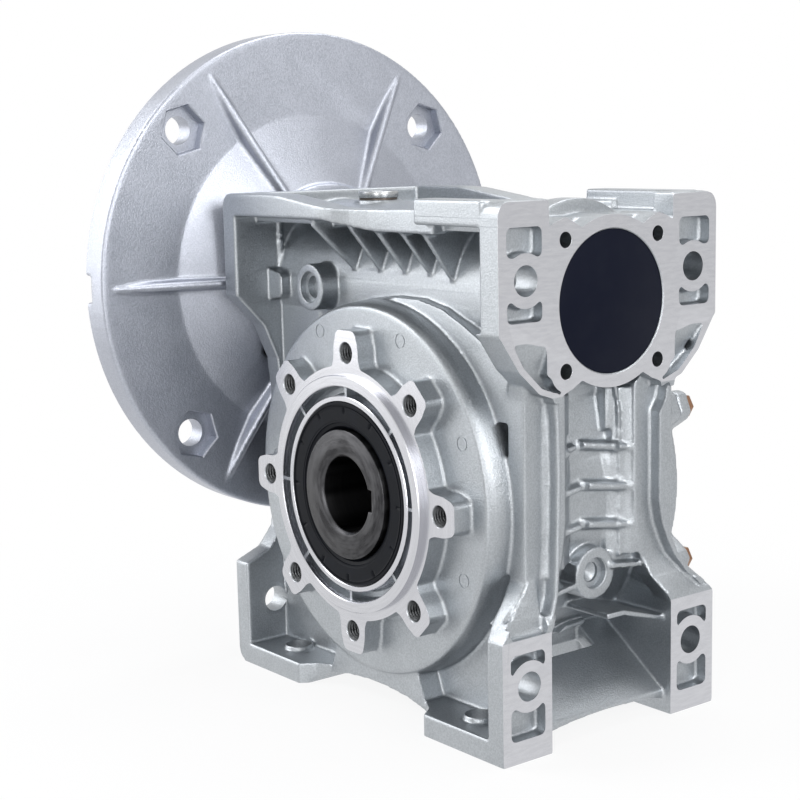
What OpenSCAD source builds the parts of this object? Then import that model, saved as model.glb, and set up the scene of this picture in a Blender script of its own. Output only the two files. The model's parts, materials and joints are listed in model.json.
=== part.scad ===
// Right-angle worm gear reducer with a hollow output shaft and a motor flange.
// Origin: centre of the output bore. +X runs along the worm to the closed end,
// -Y is the output face with the star-shaped pads, +Z is up, feet at the bottom.

/* [Gearing] */
// Distance between the worm axis and the wheel axis
centre_distance = 90; // [87:0.5:93]
// Axial module of the worm thread
worm_module = 4.8; // [4.6:0.1:4.9]
// Number of teeth on the worm wheel
wheel_teeth = 30; // [29:1:31]
// Play between the worm thread and a wheel tooth gap
backlash = 0.5; // [0.3:0.1:0.8]
// Width of the bronze rim
rim_w = 36; // [32:1:38]

/* [Output shaft] */
// Bore of the hollow output shaft
bore_d = 35; // [28:1:38]
// Width of the output keyway
key_w = 10; // [8:1:12]
// Depth of the output keyway past the bore wall
key_h = 3.3; // [2.8:0.1:3.8]
// Diameter of the hollow shaft under its bearings and seals
shaft_d = 60; // [56:1:62]
// Length of the hollow shaft
shaft_len = 140; // [138:1:144]

/* [Input shaft] */
// Bore of the worm shaft for the motor shaft
motor_bore_d = 28; // [19:1:30]
// Depth of that bore
motor_bore_len = 62; // [40:1:66]
// Width of the motor keyway
motor_key_w = 8; // [6:1:8]
// Depth of the motor keyway past the bore wall
motor_key_h = 3.3; // [2.3:0.1:3.5]
// Journal diameter of the worm shaft at the motor end
input_d = 40; // [38:1:42]
// Journal diameter of the worm shaft at the closed end
tail_d = 30; // [28:1:32]

/* [Bearings and seals] */
// Outer diameter of the output bearings
out_brg_d = 95; // [92:1:96]
// Width of the output bearings
out_brg_w = 18; // [16:1:18]
// Depth of the outer side of an output bearing below the shaft end
out_brg_depth = 16; // [15:0.5:18]
// Outer diameter of the output seals
out_seal_d = 85; // [82:1:86]
// Width of the output seals
out_seal_w = 10; // [8:1:10]
// Outer diameter of the bearing at the motor end
in_brg_d = 68; // [64:1:68]
// Width of the bearing at the motor end
in_brg_w = 15; // [13:1:15]
// Outer diameter of the bearing at the closed end
tail_brg_d = 62; // [58:1:62]
// Width of the bearing at the closed end
tail_brg_w = 16; // [14:1:16]
// Width of the seal at the motor end
in_seal_w = 8; // [6:1:9]
// Thickness of the closing cap
cap_t = 8; // [5:1:8]

/* [Housing] */
// Length over the two end faces
housing_len = 206; // [204:1:210]
// Width over the pads and feet
housing_w = 130; // [128:1:134]
// Height of the top of the pads above the worm axis
top_rise = 45; // [44:0.5:47]
// Height of the output axis above the feet
foot_drop = 103; // [102:0.5:106]
// Wall between the wheel chamber and the outside
drum_wall = 4.5; // [4:0.5:6]
// Room between the wheel rim and the chamber wall
wheel_room = 3.8; // [3:0.2:4]
// Wall of the worm tube round its bearings
tube_wall = 6; // [5:0.5:6.5]
// Thickness of the end plates
plate_t = 10.5; // [9:0.5:11]
// Thickness of the feet
foot_t = 10; // [8:0.5:11]
// Length of a foot along the worm axis
foot_len = 54; // [50:1:56]
// Thickness of the top beams
beam_t = 11; // [9:0.5:12]
// Thickness of the gussets below the top beams
gusset_t = 3; // [2.4:0.2:4]

/* [Hole patterns] */
// Diameter of the mounting holes in the pads and feet
mount_hole_d = 13; // [11:0.5:13.5]
// Spacing of the foot holes along the worm axis
foot_span_x = 140; // [136:1:142]
// Spacing of the foot and pad holes across the worm axis
foot_span_y = 100; // [98:1:102]
// Spacing of the pad holes in height
pad_span_z = 172; // [168:1:174]
// Diameter of the two lower holes in the plate at the motor side
side_hole_d = 13; // [11:0.5:13.5]
// Spacing of those two holes
side_span_y = 97; // [95:1:100]
// Height of the upper pad holes above the worm axis
pad_hole_rise = 12; // [11:0.5:13]
// Pitch circle of the eight holes in each output face
star_pcd = 130; // [128:1:132]
// Core diameter of the threaded holes in the output faces
star_hole_d = 8.5; // [6.8:0.1:8.5]
// Depth of the threaded holes in the output faces
star_hole_depth = 18; // [12:1:19]
// Diameter of the centring ring on each output face
pilot_d = 110; // [108:1:112]
// Height of the centring ring above the star pads
pilot_h = 3; // [2:0.5:3]
// Pitch circle of the cover screws
cover_pcd = 188; // [186:1:190]
// Diameter of the cover screws
cover_screw_d = 6; // [5:1:6]
// Pitch circle of the holes round the closing cap
cap_pcd = 78; // [76:0.5:79]
// Pitch circle of the screws that hold the motor flange
flange_screw_pcd = 100; // [98:1:104]
// Diameter of those screws
flange_screw_d = 8; // [6:1:8]
// How far those screws reach into the housing
flange_screw_depth = 8.5; // [7:0.5:9]

/* [Motor flange] */
// Outer diameter of the motor flange
flange_d = 250; // [240:1:260]
// Thickness of the flange rim
flange_t = 16; // [13:1:17]
// Distance from the housing face to the back of the rim
bell_len = 15; // [13:1:18]
// Distance of the motor bolts from the edge of the flange
motor_bolt_in = 17.5; // [16:0.5:20]
// Diameter of the motor bolt holes
motor_hole_d = 14; // [11:0.5:15]
// Diameter of the recess that centres the motor
motor_pilot_d = 180; // [170:1:185]
// Depth of that recess
motor_pilot_h = 5; // [4:0.5:6]
// Width of the hexagon pockets across their flats
hex_flats = 22; // [20:0.5:24]
// Depth of the hexagon pockets
hex_depth = 6; // [4:0.5:8]
// Thickness of the flange ribs
flange_rib_t = 5; // [4:0.5:7]

/* [Fits] */
// Gap between a seated piece and its seat
seat_gap = 0.02; // [0.01:0.01:0.05]
// Gap between a turning shaft and the lip that runs on it
run_gap = 0.05; // [0.03:0.01:0.1]
// Gap between a screw and its hole
screw_gap = 0.3; // [0.2:0.1:0.5]

/* [Hidden] */
$fn = 64;

// Gearing, worked out from the centre distance
wheel_pitch_r = worm_module * wheel_teeth / 2;
worm_pitch_r = centre_distance - wheel_pitch_r;
worm_tip_r = worm_pitch_r + worm_module;
root_room = 0.2 * worm_module;
worm_root_r = worm_pitch_r - worm_module - root_room;
wheel_tip_r = wheel_pitch_r + 1.5 * worm_module;
thread_pitch = PI * worm_module;
flank_angle = 20;
thread_turns = 5;
thread_facets = 32;
thread_start = -(floor(thread_turns / 2) + 0.75) * thread_pitch;
thread_reach = 3.1 * thread_pitch;

// Main planes of the housing
half_len = housing_len / 2;
half_w = housing_w / 2;
top_z = centre_distance + top_rise;
foot_z = -foot_drop;
chamber_r = wheel_tip_r + wheel_room;
drum_r = chamber_r + drum_wall;
star_y = shaft_len / 2 - pilot_h;
disc_y = star_y - 10;
cover_y = shaft_len / 2 - 18;
out_brg_end = shaft_len / 2 - out_brg_depth;
out_brg_y = out_brg_end - out_brg_w;
chamber_y = out_brg_y + 10;
foot_in = half_len - foot_len;
seal_seat_y = shaft_len / 2 - 0.8 - out_seal_w;
tube_in_r = in_brg_d / 2;
tube_r = tube_in_r + tube_wall;
tail_r = tail_brg_d / 2;

// Places along the worm axis
tail_cap_x = half_len - 0.5 - cap_t;
circlip_t = 1.8;
tail_clip_x = tail_cap_x - circlip_t - 0.3;
tail_brg_x = tail_clip_x - 0.2 - tail_brg_w;
in_brg_x = -half_len + 12;
in_clip_x = in_brg_x - 0.2 - circlip_t;
in_seal_x = in_clip_x - 0.8 - in_seal_w;
flange_face_x = -half_len - bell_len - flange_t;
input_end_x = flange_face_x + motor_pilot_h + 0.5;

// End plates: the slender legs between the pads
pad_top_z = centre_distance - 10.5;
pad_low_z = -49;
leg_half_y = 45;
leg_inner_y = 21;
leg_top_z = 51;
leg_low_z = -28;
leg_back_x = half_len - 18;
leg_front_x = half_len - 7.5;
leg_rib_y = 30.5;
leg_rib_t = 2.6;
rear_jog = 3.5;
left_waist_y = 40.4;
pad_in_y = 37;
pad_corner_r = 7;
end_r = 6;
pad_edge = 1.6;
wall_in_y = 37;
wall_out_y = 42;
pad_hole_z = centre_distance + pad_hole_rise;
low_hole_z = pad_hole_z - pad_span_z;
pad_pocket_h = 6;
pad_pocket_w = 19.5;
pocket_corner_r = 2.6;
hole_boss_r = 11.4;
side_hole_z = low_hole_z - 2;
ear_r = 8.6;
ear_at = cap_pcd / 2 * sqrt(0.5);
ear_hole_r = 3.4;
cap_ring_r = tail_r + 6;

// Turned lines that several pieces share
star_inner_r = 42.5 + 2.9;
groove_w = 4.5;
groove_depth = 9;
seal_shoulder_r = 39.5;
cover_flange_t = 6;
tab_rise = 1;
tab_len = 16;
cover_screw_reach = 13;
spigot_gap = 0.3;
star_angles = [0 : 45 : 359];
cover_angles = [22.5 : 45 : 359];
out_boss_r = out_brg_d / 2 + 6.5;
cover_oring_r = 1.2;
flange_oring_r = 0.9;
flange_oring_at = tube_in_r + 2;

// Details on the outside of the housing
rear_beam_len = 70;
top_web_z = top_z - 14;
top_web_t = 5;
plug_boss_r = 11.8;
plug_z = -31.8;
plug_face_x = drum_r + 4.5;
bead_y = 16.5;
boss_x = -52;
boss_z = centre_distance + 0.5;
cap_ring_len = 22;
fill_x = -61;
fill_face_z = centre_distance + tube_r + 0.2;
fill_head_z = fill_face_z + 0.4;
fill_thread_r = 8;
flange_screw_at = flange_screw_pcd / 2 * sqrt(0.5);
motor_pcd = flange_d - 2 * motor_bolt_in;

function arc_pts(cx, cy, r, a0, a1, n) =
  [for (i = [0 : n]) let (a = a0 + (a1 - a0) * i / n) [cx + r * cos(a), cy + r * sin(a)]];
function flip(pts) = [for (i = [len(pts) - 1 : -1 : 0]) [-pts[i][0], pts[i][1]]];
function both_sides(pts) = concat(pts, flip(pts));

// Cylinder along Y from y0 to y1
module turn_y(r, y0, y1, x = 0, z = 0) {
  translate([x, y1, z]) rotate([90, 0, 0]) cylinder(r = r, h = y1 - y0);
}

// Cylinder along X from x0 to x1
module turn_x(r, x0, x1, y = 0, z = centre_distance) {
  translate([x0, y, z]) rotate([0, 90, 0]) cylinder(r = r, h = x1 - x0);
}

// Outline in (y, z) carried from x0 to x1
module slab_x(x0, x1) {
  translate([x0, 0, 0]) rotate([90, 0, 90]) linear_extrude(x1 - x0) children();
}

// Outline in (x, z) carried from y0 to y1
module slab_y(y0, y1) {
  translate([0, y1, 0]) rotate([90, 0, 0]) linear_extrude(y1 - y0) children();
}

// Outline in (radius, y) turned about the output axis
module lathe_y() {
  rotate([-90, 0, 0]) rotate_extrude() children();
}

// Outline in (radius, x) turned about the worm axis
module lathe_x() {
  translate([0, 0, centre_distance]) rotate([0, 90, 0]) rotate_extrude() children();
}

module both_y() {
  children();
  mirror([0, 1, 0]) children();
}

// Housing

// Outline of the whole case in (x, z): it rounds the left end and breaks the right edges
function end_trim() = concat(
  arc_pts(-half_len + end_r, foot_z + end_r, end_r, 270, 180, 5),
  arc_pts(-half_len + end_r, top_z - end_r, end_r, 180, 90, 5),
  [[half_len - pad_edge, top_z], [half_len, top_z - pad_edge], [half_len, foot_z + pad_edge],
    [half_len - pad_edge, foot_z]]);

function left_plate_half() = concat(
  [[half_w, foot_z], [half_w, pad_low_z - 2], [51, -45.4], [43.4, -36], [left_waist_y, -20],
   [left_waist_y, 36.8], [42, 52], [49.4, 69], [half_w, 85]],
  [[half_w, top_z]]);

module left_plate() {
  slab_x(-half_len, -half_len + plate_t) polygon(both_sides(left_plate_half()));
}

// The slender right-hand legs lean back between the pads
function right_leg_half() = [
  [half_w, foot_z], [half_w, pad_low_z], [leg_half_y, leg_low_z], [leg_half_y, leg_top_z],
  [46.9, 61], [50.3, 67.5], [55.9, 74], [half_w, pad_top_z + 2], [half_w, pad_top_z + 12]];
function leg_profile() = [
  [leg_back_x, leg_low_z], [half_len - plate_t, pad_low_z], [half_len - plate_t, foot_z],
  [half_len, foot_z], [half_len, pad_low_z], [leg_front_x, leg_low_z],
  [leg_front_x, leg_top_z], [half_len, pad_top_z], [half_len, pad_top_z + 12],
  [half_len - plate_t, pad_top_z + 12], [half_len - plate_t, pad_top_z],
  [leg_back_x, leg_top_z]];

module right_legs() {
  difference() {
    intersection() {
      slab_x(leg_back_x - 1, half_len) polygon(both_sides(right_leg_half()));
      slab_y(-half_w, half_w) polygon(leg_profile());
    }
    slab_x(leg_back_x - 2, half_len + 1) polygon(both_sides([[pad_in_y, foot_z - 1], [pad_in_y, pad_low_z],
      [28.5, -37], [23.5, -22], [leg_inner_y, -5], [leg_inner_y, 52], [30, 62], [30, 79]]));
  }
}

// Thin rib that stands on the leg and runs out into the pads, swung out by jog near its top
function leg_rib_line(jog) = [[33 + jog, 54], [leg_rib_y + jog, 43], [leg_rib_y, 38], [leg_rib_y, -2],
  [32.5, -12], [36.5, -21], [41, -29], [48, -37], [57, -45]];
module leg_rib(jog) {
  line = leg_rib_line(jog);
  outer = [for (p = line) [p[0] + leg_rib_t, p[1] + (p[1] < -10 ? 1 : 0)]];
  slab_x(leg_back_x + 3, half_len) polygon(concat(line, [for (i = [len(outer) - 1 : -1 : 0]) outer[i]]));
}
module leg_ribs() {
  leg_rib(rear_jog);
  mirror([0, 1, 0]) leg_rib(0);
  both_y() slab_x(leg_back_x + 3, half_len) polygon([[half_w, pad_top_z + 1], [54, 64.5], [43, 54.5],
    [30, 50], [30, 52.6], [41.5, 56.6], [51.5, 66], [60, pad_top_z + 1]]);
}

function pad_half(z0, z1) = concat([[pad_in_y, z0], [half_w, z0]],
  arc_pts(half_w - pad_corner_r, z1 - pad_corner_r, pad_corner_r, 0, 90, 5), [[pad_in_y, z1]]);

module right_pads() {
  both_y() {
    slab_x(half_len - plate_t - 1.5, half_len) polygon(pad_half(pad_top_z, top_z));
    slab_x(half_len - plate_t, half_len) polygon([[pad_in_y, foot_z], [half_w - 2, foot_z],
      [half_w, foot_z + 3], [half_w, pad_low_z], [pad_in_y, pad_low_z]]);
  }
}

// Ring round the closing cap with its four screw ears
module cap_ring() {
  turn_x(cap_ring_r, half_len - cap_ring_len - 6, half_len);
  both_y() {
    slab_x(half_len - cap_ring_len, half_len) translate([0, centre_distance])
      polygon([[0, 0], [19.5, 33], [27.6, 37], [35, 34.5], [38.5, 30], [38.5, -28], [35, -30.5],
        [29.2, -37.4], [19.5, -33]]);
    for (s = [-1, 1]) turn_x(ear_r, half_len - cap_ring_len, half_len, ear_at, centre_distance + s * ear_at);
  }
}

module drum() {
  lathe_y() polygon([[0, -disc_y], [drum_r - 3.2, -disc_y], [drum_r - 2.2, -disc_y + 0.6],
    [drum_r - 0.8, -disc_y + 4], [drum_r, -48], [drum_r, cover_y], [0, cover_y]]);
  tabs(cover_y - tab_len, cover_y);
}

// Screw tab of the cover as an outline in (radius, half width), grown by g
function tab_out(g) = let (r = cover_pcd / 2) [[drum_r - 4, 9.4 + g], [drum_r + 2, 8.6 + g], [r + 3.6, 7 + g],
  [r + 7 + g, 4.6 + g / 2], [r + 7 + g, -4.6 - g / 2], [r + 3.6, -7 - g], [drum_r + 2, -8.6 - g], [drum_r - 4, -9.4 - g]];
module tabs(y0, y1, g = 0) {
  for (a = cover_angles) rotate([0, a, 0]) slab_y(y0, y1) polygon(tab_out(g));
}

// One lobe of the star as an outline in (radius, half width)
function lobe_half() = [[pilot_d / 2 - 2, 12.5], [58.5, 10.6], [61.5, 9.4], [star_pcd / 2 + 3, 9],
  [star_pcd / 2 + 8.6, 7.4], [star_pcd / 2 + 10.2, 5.4]];
function lobe() = concat(lobe_half(), [for (i = [len(lobe_half()) - 1 : -1 : 0])
  [lobe_half()[i][0], -lobe_half()[i][1]]]);

// Star-shaped output face with its centring ring, standing on y0 and pointing to -Y
module star_face(y0) {
  turn_y(pilot_d / 2 + 4, -star_y, y0);
  turn_y(pilot_d / 2, -shaft_len / 2, y0);
  for (a = star_angles) rotate([0, a, 0]) slab_y(-star_y, y0) polygon(lobe());
}

// Bores, groove and threaded holes that belong to an output face
module output_cuts() {
  turn_y(out_seal_d / 2, -shaft_len / 2 - 1, -seal_seat_y);
  turn_y(seal_shoulder_r, -shaft_len / 2 - 1, -out_brg_y + 1);
  turn_y(out_brg_d / 2, -out_brg_end, -out_brg_y + 4);
  difference() {
    turn_y(star_inner_r + groove_w, -shaft_len / 2 - 1, -shaft_len / 2 + groove_depth);
    turn_y(star_inner_r, -shaft_len / 2 - 2, -shaft_len / 2 + groove_depth + 1);
    for (a = star_angles) rotate([0, a, 0])
      translate([star_inner_r - 1, -shaft_len / 2 + 2.5, -0.8]) cube([groove_w + 2, groove_depth, 1.6]);
  }
  turn_y(star_inner_r + 0.01, -shaft_len / 2 - 1, -shaft_len / 2 + 1.2);
  for (a = star_angles)
    turn_y(star_hole_d / 2, -star_y - 1, -star_y + star_hole_depth, star_pcd / 2 * cos(a), star_pcd / 2 * sin(a));
}

// Top beam: straight at the left, drawn in and lower over the tube, full at the right
function beam_plan() = [[-half_len, -half_w], [-22, -half_w], [-14, -63.4], [-4, -60], [8, -57.8],
  [18, -57], [34, -57], [half_len - 50, -57.5], [half_len - 50, -50], [-half_len, -50]];
module top_beam(full_len) {
  beam_low = top_z - beam_t;
  intersection() {
    translate([0, 0, beam_low - 5]) linear_extrude(beam_t + 5) polygon(beam_plan());
    slab_y(-half_w, 0) polygon([[-half_len, beam_low], [-20, beam_low], [-9, beam_low - 1.6], [6, beam_low - 4.2],
      [18, beam_low - 4.5], [half_len - 49, beam_low - 4.5], [half_len - 49, top_z - 5], [0, top_z - 5.8],
      [-16, top_z - 5.4], [-34, top_z - 3], [-52, top_z - 0.6], [-62, top_z], [-half_len, top_z]]);
  }
  translate([half_len - full_len, -half_w, beam_low]) cube([full_len - plate_t, 13, beam_t]);
}

// Web under the beams that closes the top down to the tube
module top_web() {
  slab_y(-52, 52) polygon([[-half_len + 2, top_web_z], [half_len - plate_t, top_web_z],
    [half_len - plate_t, top_web_z + top_web_t], [-half_len + 2, top_web_z + top_web_t]]);
}

gusset_x = [-29, -9, 9.5, 27.5, 43.5];
module gussets() {
  for (i = [0 : len(gusset_x) - 1]) {
    top_y = i == 0 ? 63 : 57;
    foot_y = i == len(gusset_x) - 1 ? 40 : 38;
    slab_x(gusset_x[i] - gusset_t / 2, gusset_x[i] + gusset_t / 2) polygon([[-top_y, top_z - 14],
      [-top_y, top_z - 11.5], [-30, top_z - 11.5], [-25, centre_distance + 20], [-foot_y, centre_distance + 8]]);
  }
}

// Four corner feet, each with its inner end drawn in towards the drum
module feet() {
  both_y() for (s = [-1, 1]) translate([0, 0, foot_z]) linear_extrude(foot_t)
    polygon([[s * half_len, -half_w], [s * foot_in, -half_w], [s * (foot_in - 5), -half_w + 7],
      [s * (foot_in - 12), -disc_y + 3], [s * (foot_in - 12), -pad_in_y], [s * half_len, -pad_in_y]]);
}

// Line of the arch that spans from foot to foot, in (x, z)
function arch_line() = [[-foot_in + 1, foot_z - 1], [-foot_in + 4, foot_z + 2], [-35, foot_z + 6],
  [-23, foot_z + 8.7], [-8, foot_z + foot_t], [8, foot_z + foot_t], [23, foot_z + 8.7], [35, foot_z + 6],
  [foot_in - 4, foot_z + 2], [foot_in - 1, foot_z - 1]];

// Front or rear arch wall: slants in from the feet to the drum
module arch_wall() {
  intersection() {
    translate([0, 0, foot_z]) linear_extrude(40) polygon([[-foot_in, -half_w], [-foot_in + 5, -half_w + 7],
      [-foot_in + 12, -disc_y + 3], [foot_in - 12, -disc_y + 3], [foot_in - 5, -half_w + 7],
      [foot_in, -half_w], [foot_in, -wall_out_y], [-foot_in, -wall_out_y]]);
    slab_y(-half_w, 0) polygon(concat(arch_line(), [[foot_in, foot_z + foot_t], [36, foot_z + foot_t],
      [30, -78], [-30, -78], [-36, foot_z + foot_t], [-foot_in, foot_z + foot_t]]));
  }
}

// Slanted web between the right or left feet, from the drum down to a thin lip
module end_web() {
  difference() {
    slab_y(-wall_in_y - 1, wall_in_y + 1) polygon([[58, -64], [half_len - 4.5, -92.4], [half_len - 4.5, -99],
      [half_len - 7.5, -99], [54, -70]]);
    end_arch();
  }
}

// Free space under the end webs, arched across the case
module end_arch() {
  slab_x(-half_len - 1, half_len + 1) polygon([[-wall_in_y, -96.6], [-31, -95.4], [-18, -94], [0, -93.4],
    [18, -94], [31, -95.4], [wall_in_y, -96.6], [wall_in_y, foot_z - 1], [-wall_in_y, foot_z - 1]]);
}

// Walls that tie the drum to the end plates and feet
module webs() {
  side = [[half_len - 1, foot_z], [half_len - 1, pad_low_z - 2], [half_len - 12, leg_low_z], [60, leg_low_z],
    [40, -60], [-40, -60], [-60, leg_low_z], [-half_len + 2, leg_low_z], [-half_len + 2, foot_z]];
  both_y() slab_y(wall_in_y, wall_out_y) polygon(concat(arch_line(), side));
  both_y() arch_wall();
  end_web();
  mirror([1, 0, 0]) end_web();
  slab_y(-left_waist_y + 2, left_waist_y - 2)
    polygon([[-half_len + 2, 88], [-half_len + 2, -55], [-84, -48], [-70, 0], [-60, 60], [-60, 88]]);
  both_y() slab_y(30, 38) polygon([[half_len - 24, 84], [half_len - 16, 70], [half_len - 16, leg_top_z - 8],
    [60, leg_top_z - 8], [50, 84]]);
}

// Wall between the right legs that leads from the drum up to the tube, rounded into the legs
module leg_wall() {
  slab_y(-38, 38) polygon([[60, 5], [drum_r - 0.5, 5], [84.2, 28], [80.5, 48], [79.5, 58], [60, 58]]);
  both_y() translate([0, 0, -26]) linear_extrude(76) polygon([[82, 11], [drum_r - 0.4, 11], [89, 14.5],
    [91.4, 18], [94.4, leg_inner_y + 0.2], [94.4, 30], [82, 30]]);
}

// Web between drum, tube and leg on the output side: its rising edge shows as a ridge
module tube_web() {
  slab_y(-45, -34) polygon([[-20, 78], [-18, 84], [-4, 87.8], [8.6, 89.2], [26.7, 89], [42, 86], [56.6, 79.8],
    [69, 73.5], [79, 68], [87, 62], [87, 40], [60, 40], [0, 78]]);
}

// Bar of thickness t between two places in (y, z)
function bar(y0, z0, y1, z1, t) = [[y0, z0 - t / 2], [y1, z1 - t / 2], [y1, z1 + t / 2], [y0, z0 + t / 2]];

// Short ribs, parting line and plug boss on the drum between the right legs
module drum_details() {
  for (z = [26, 8.3, -9.2]) {
    slab_x(80, drum_r + 7) polygon(bar(-1, z, 24, z - 3.8, 2.2));
    slab_x(80, drum_r + 4) polygon(bar(-5, z, 24, z - 4, 4.6));
  }
  for (z = [25.5, 8.5, -9])
    slab_x(78, drum_r + 3.5) polygon(bar(-24, z - 3.5, -6, z, 2.4));
  slab_x(76, drum_r + 6.5) polygon(bar(8, -29.5, 27, -31.8, 2.4));
  slab_x(80, drum_r + 3) polygon(bar(-26, -38.5, -8, -35.5, 2.2));
  slab_y(bead_y - 0.6, bead_y + 0.6) polygon(concat(arc_pts(0, 0, drum_r + 1.2, -25, 18, 6),
    [[81.5, 48], [79, 56], [60, 56], [60, -30]]));
  turn_x(plug_boss_r, 70, plug_face_x, 0, plug_z);
  slab_x(66, half_len - 4.5) polygon([[1, -49.5], [12, -49.7], [22, -52.5], [33, -56], [wall_out_y, -56.5],
    [wall_out_y, -58.5], [33, -58], [21, -54.8], [12, -52], [1, -52]]);
  slab_x(58, 64) polygon([[-10, -75], [-4, -71], [0.4, -68.2], [8.7, -63.7], [20.9, -62.8], [20.9, -65],
    [9.5, -66], [1.6, -70.5], [-8, -77]]);
}

// Plug bosses on the front of the worm tube and on its top
module tube_details() {
  turn_y(11.2, -50, -30, boss_x, boss_z);
  slab_y(-46, -36) translate([-half_len + plate_t, centre_distance - 0.5])
    polygon([[-1, -8], [9, -6.2], [11, -4], [11, 4], [9, 6.2], [-1, 8]]);
  translate([fill_x, 0, centre_distance + tube_r - 8]) cylinder(r = 12, h = fill_face_z - centre_distance - tube_r + 8);
}

module pad_cuts() {
  hole_y = foot_span_y / 2;
  both_y() {
    for (z = [pad_hole_z, low_hole_z]) turn_x(mount_hole_d / 2, half_len - plate_t - 4, half_len + 1, hole_y, z);
    turn_x(side_hole_d / 2, -half_len - 1, -half_len + plate_t + 1, side_span_y / 2, side_hole_z);
    slab_x(half_len - pad_pocket_h, half_len + 1) {
      pocket(pad_hole_z, 9.5, 22);
      pocket(pad_hole_z, -17.2, -8.2);
      pocket(low_hole_z, 5, 15);
      pocket(low_hole_z, -23, -8.5);
    }
  }
}

// Pocket in a pad between heights z0 and z1 from the hole, hollowed round the hole's boss
module pocket(hole_z, z0, z1) {
  r = pocket_corner_r;
  difference() {
    translate([41, hole_z]) union() {
      translate([r, z0]) square([pad_pocket_w - 2 * r, z1 - z0]);
      translate([0, z0 + r]) square([pad_pocket_w, z1 - z0 - 2 * r]);
      for (y = [r, pad_pocket_w - r], z = [z0 + r, z1 - r]) translate([y, z]) circle(r = r, $fn = 24);
    }
    translate([foot_span_y / 2, hole_z]) circle(r = hole_boss_r);
  }
}

module housing_body() {
  drum();
  star_face(-disc_y + 1);
  turn_y(out_boss_r, -disc_y + 1, -out_brg_y);
  left_plate();
  right_legs();
  leg_ribs();
  right_pads();
  cap_ring();
  top_beam(54.5);
  mirror([0, 1, 0]) top_beam(rear_beam_len);
  top_web();
  both_y() gussets();
  feet();
  webs();
  leg_wall();
  tube_web();
  drum_details();
  tube_details();
  turn_x(tube_r, -half_len + 1, half_len - cap_ring_len);
  turn_x(tube_r + 3.5, half_len - cap_ring_len - 11, half_len - cap_ring_len + 0.5);
}

module housing_cavity() {
  difference() {
    turn_y(chamber_r, -chamber_y, cover_y + 1);
    turn_y(out_boss_r, -chamber_y - 1, -out_brg_y);
  }
  output_cuts();
  turn_x(worm_tip_r + 4.2, in_brg_x - 5, tail_brg_x + 1);
  turn_x(tube_in_r, -half_len - 1, in_brg_x + in_brg_w);
  turn_x(tail_r, tail_brg_x, half_len + 1);
  turn_x(tail_r + 2, tail_clip_x - 0.1, tail_clip_x + circlip_t + 0.1);
  turn_x(tube_in_r + 2, in_clip_x - 0.1, in_clip_x + circlip_t + 0.1);
  translate([fill_x, 0, centre_distance]) cylinder(r = fill_thread_r + screw_gap, h = tube_r + 20);
}

module housing_holes() {
  pad_cuts();
  both_y() for (s = [-1, 1]) turn_x(ear_hole_r, half_len - 18, half_len + 1, ear_at, centre_distance + s * ear_at);
  both_y() for (s = [-1, 1]) turn_x(flange_screw_d / 2 + screw_gap, -half_len - 1, -half_len + flange_screw_depth + 1,
    flange_screw_at, centre_distance + s * flange_screw_at);
  for (x = [-foot_span_x / 2, foot_span_x / 2], y = [-foot_span_y / 2, foot_span_y / 2])
    translate([x, y, foot_z - 1]) cylinder(r = mount_hole_d / 2, h = foot_t + 4);
  for (a = cover_angles)
    turn_y(cover_screw_d / 2 + screw_gap, cover_y - cover_screw_reach - 2, cover_y + 1,
      cover_pcd / 2 * cos(a), cover_pcd / 2 * sin(a));
  turn_x(7, plug_face_x - 6.5, plug_face_x + 1, 0, plug_z);
  turn_y(7.5, -51, -43.5, boss_x, boss_z);
  end_arch();
  slab_y(-half_w - 1, half_w + 1) polygon(arch_line());
  translate([60, -33, -84]) cube([11, 52, 17.5]);
  cover_room();
}

// Room that the side cover and its screw tabs need beside the legs and feet
module cover_room() {
  turn_y(drum_r + 0.6, cover_y, half_w + 1);
  tabs(cover_y, half_w + 1, 0.8);
}

module housing() {
  color("#b9bdc1") difference() {
    intersection() {
      housing_body();
      slab_y(-shaft_len / 2 - 1, half_w + 1) polygon(end_trim());
    }
    housing_cavity();
    housing_holes();
  }
}

// Side cover

module cover_body() {
  difference() {
    union() {
      turn_y(chamber_r - spigot_gap, chamber_y - 2, cover_y + 1);
      turn_y(drum_r, cover_y, cover_y + cover_flange_t);
      tabs(cover_y, cover_y + cover_flange_t + tab_rise);
      mirror([0, 1, 0]) star_face(-cover_y - 1);
    }
    turn_y(chamber_r - 8, chamber_y - 3, chamber_y + 1.5);
    for (a = cover_angles)
      turn_y(cover_screw_d / 2 + screw_gap, cover_y - 1, cover_y + 20, cover_pcd / 2 * cos(a), cover_pcd / 2 * sin(a));
    lathe_y() translate([chamber_r - spigot_gap, cover_y - 3])
      square([4 * cover_oring_r + 0.2, 2 * cover_oring_r + 0.4], center = true);
  }
  turn_y(out_boss_r, out_brg_y, cover_y + 1);
}

module side_cover() {
  color("#b4b8bc") difference() {
    cover_body();
    mirror([0, 1, 0]) output_cuts();
  }
}

module cover_oring() {
  color("#1c1d20") lathe_y() translate([chamber_r - cover_oring_r - 0.25, cover_y - 3]) circle(r = cover_oring_r);
}

module screw_y(d, y_under, grip, head_h, x, z) {
  turn_y(d / 2, y_under - grip, y_under + 0.1, x, z);
  translate([x, y_under + head_h, z]) rotate([90, 0, 0]) cylinder(r = d * 0.94, h = head_h, $fn = 6);
}

module cover_screws() {
  color("#c08a5a") for (a = cover_angles)
    screw_y(cover_screw_d, cover_y + cover_flange_t + tab_rise, cover_flange_t + tab_rise + cover_screw_reach, 4,
      cover_pcd / 2 * cos(a), cover_pcd / 2 * sin(a));
}

// Wheel and output shaft

// Half width of the worm thread at radius rho, with extra room added
function thread_half(rho, extra) = thread_pitch / 4 + extra - (rho - worm_pitch_r) * tan(flank_angle);

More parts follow.
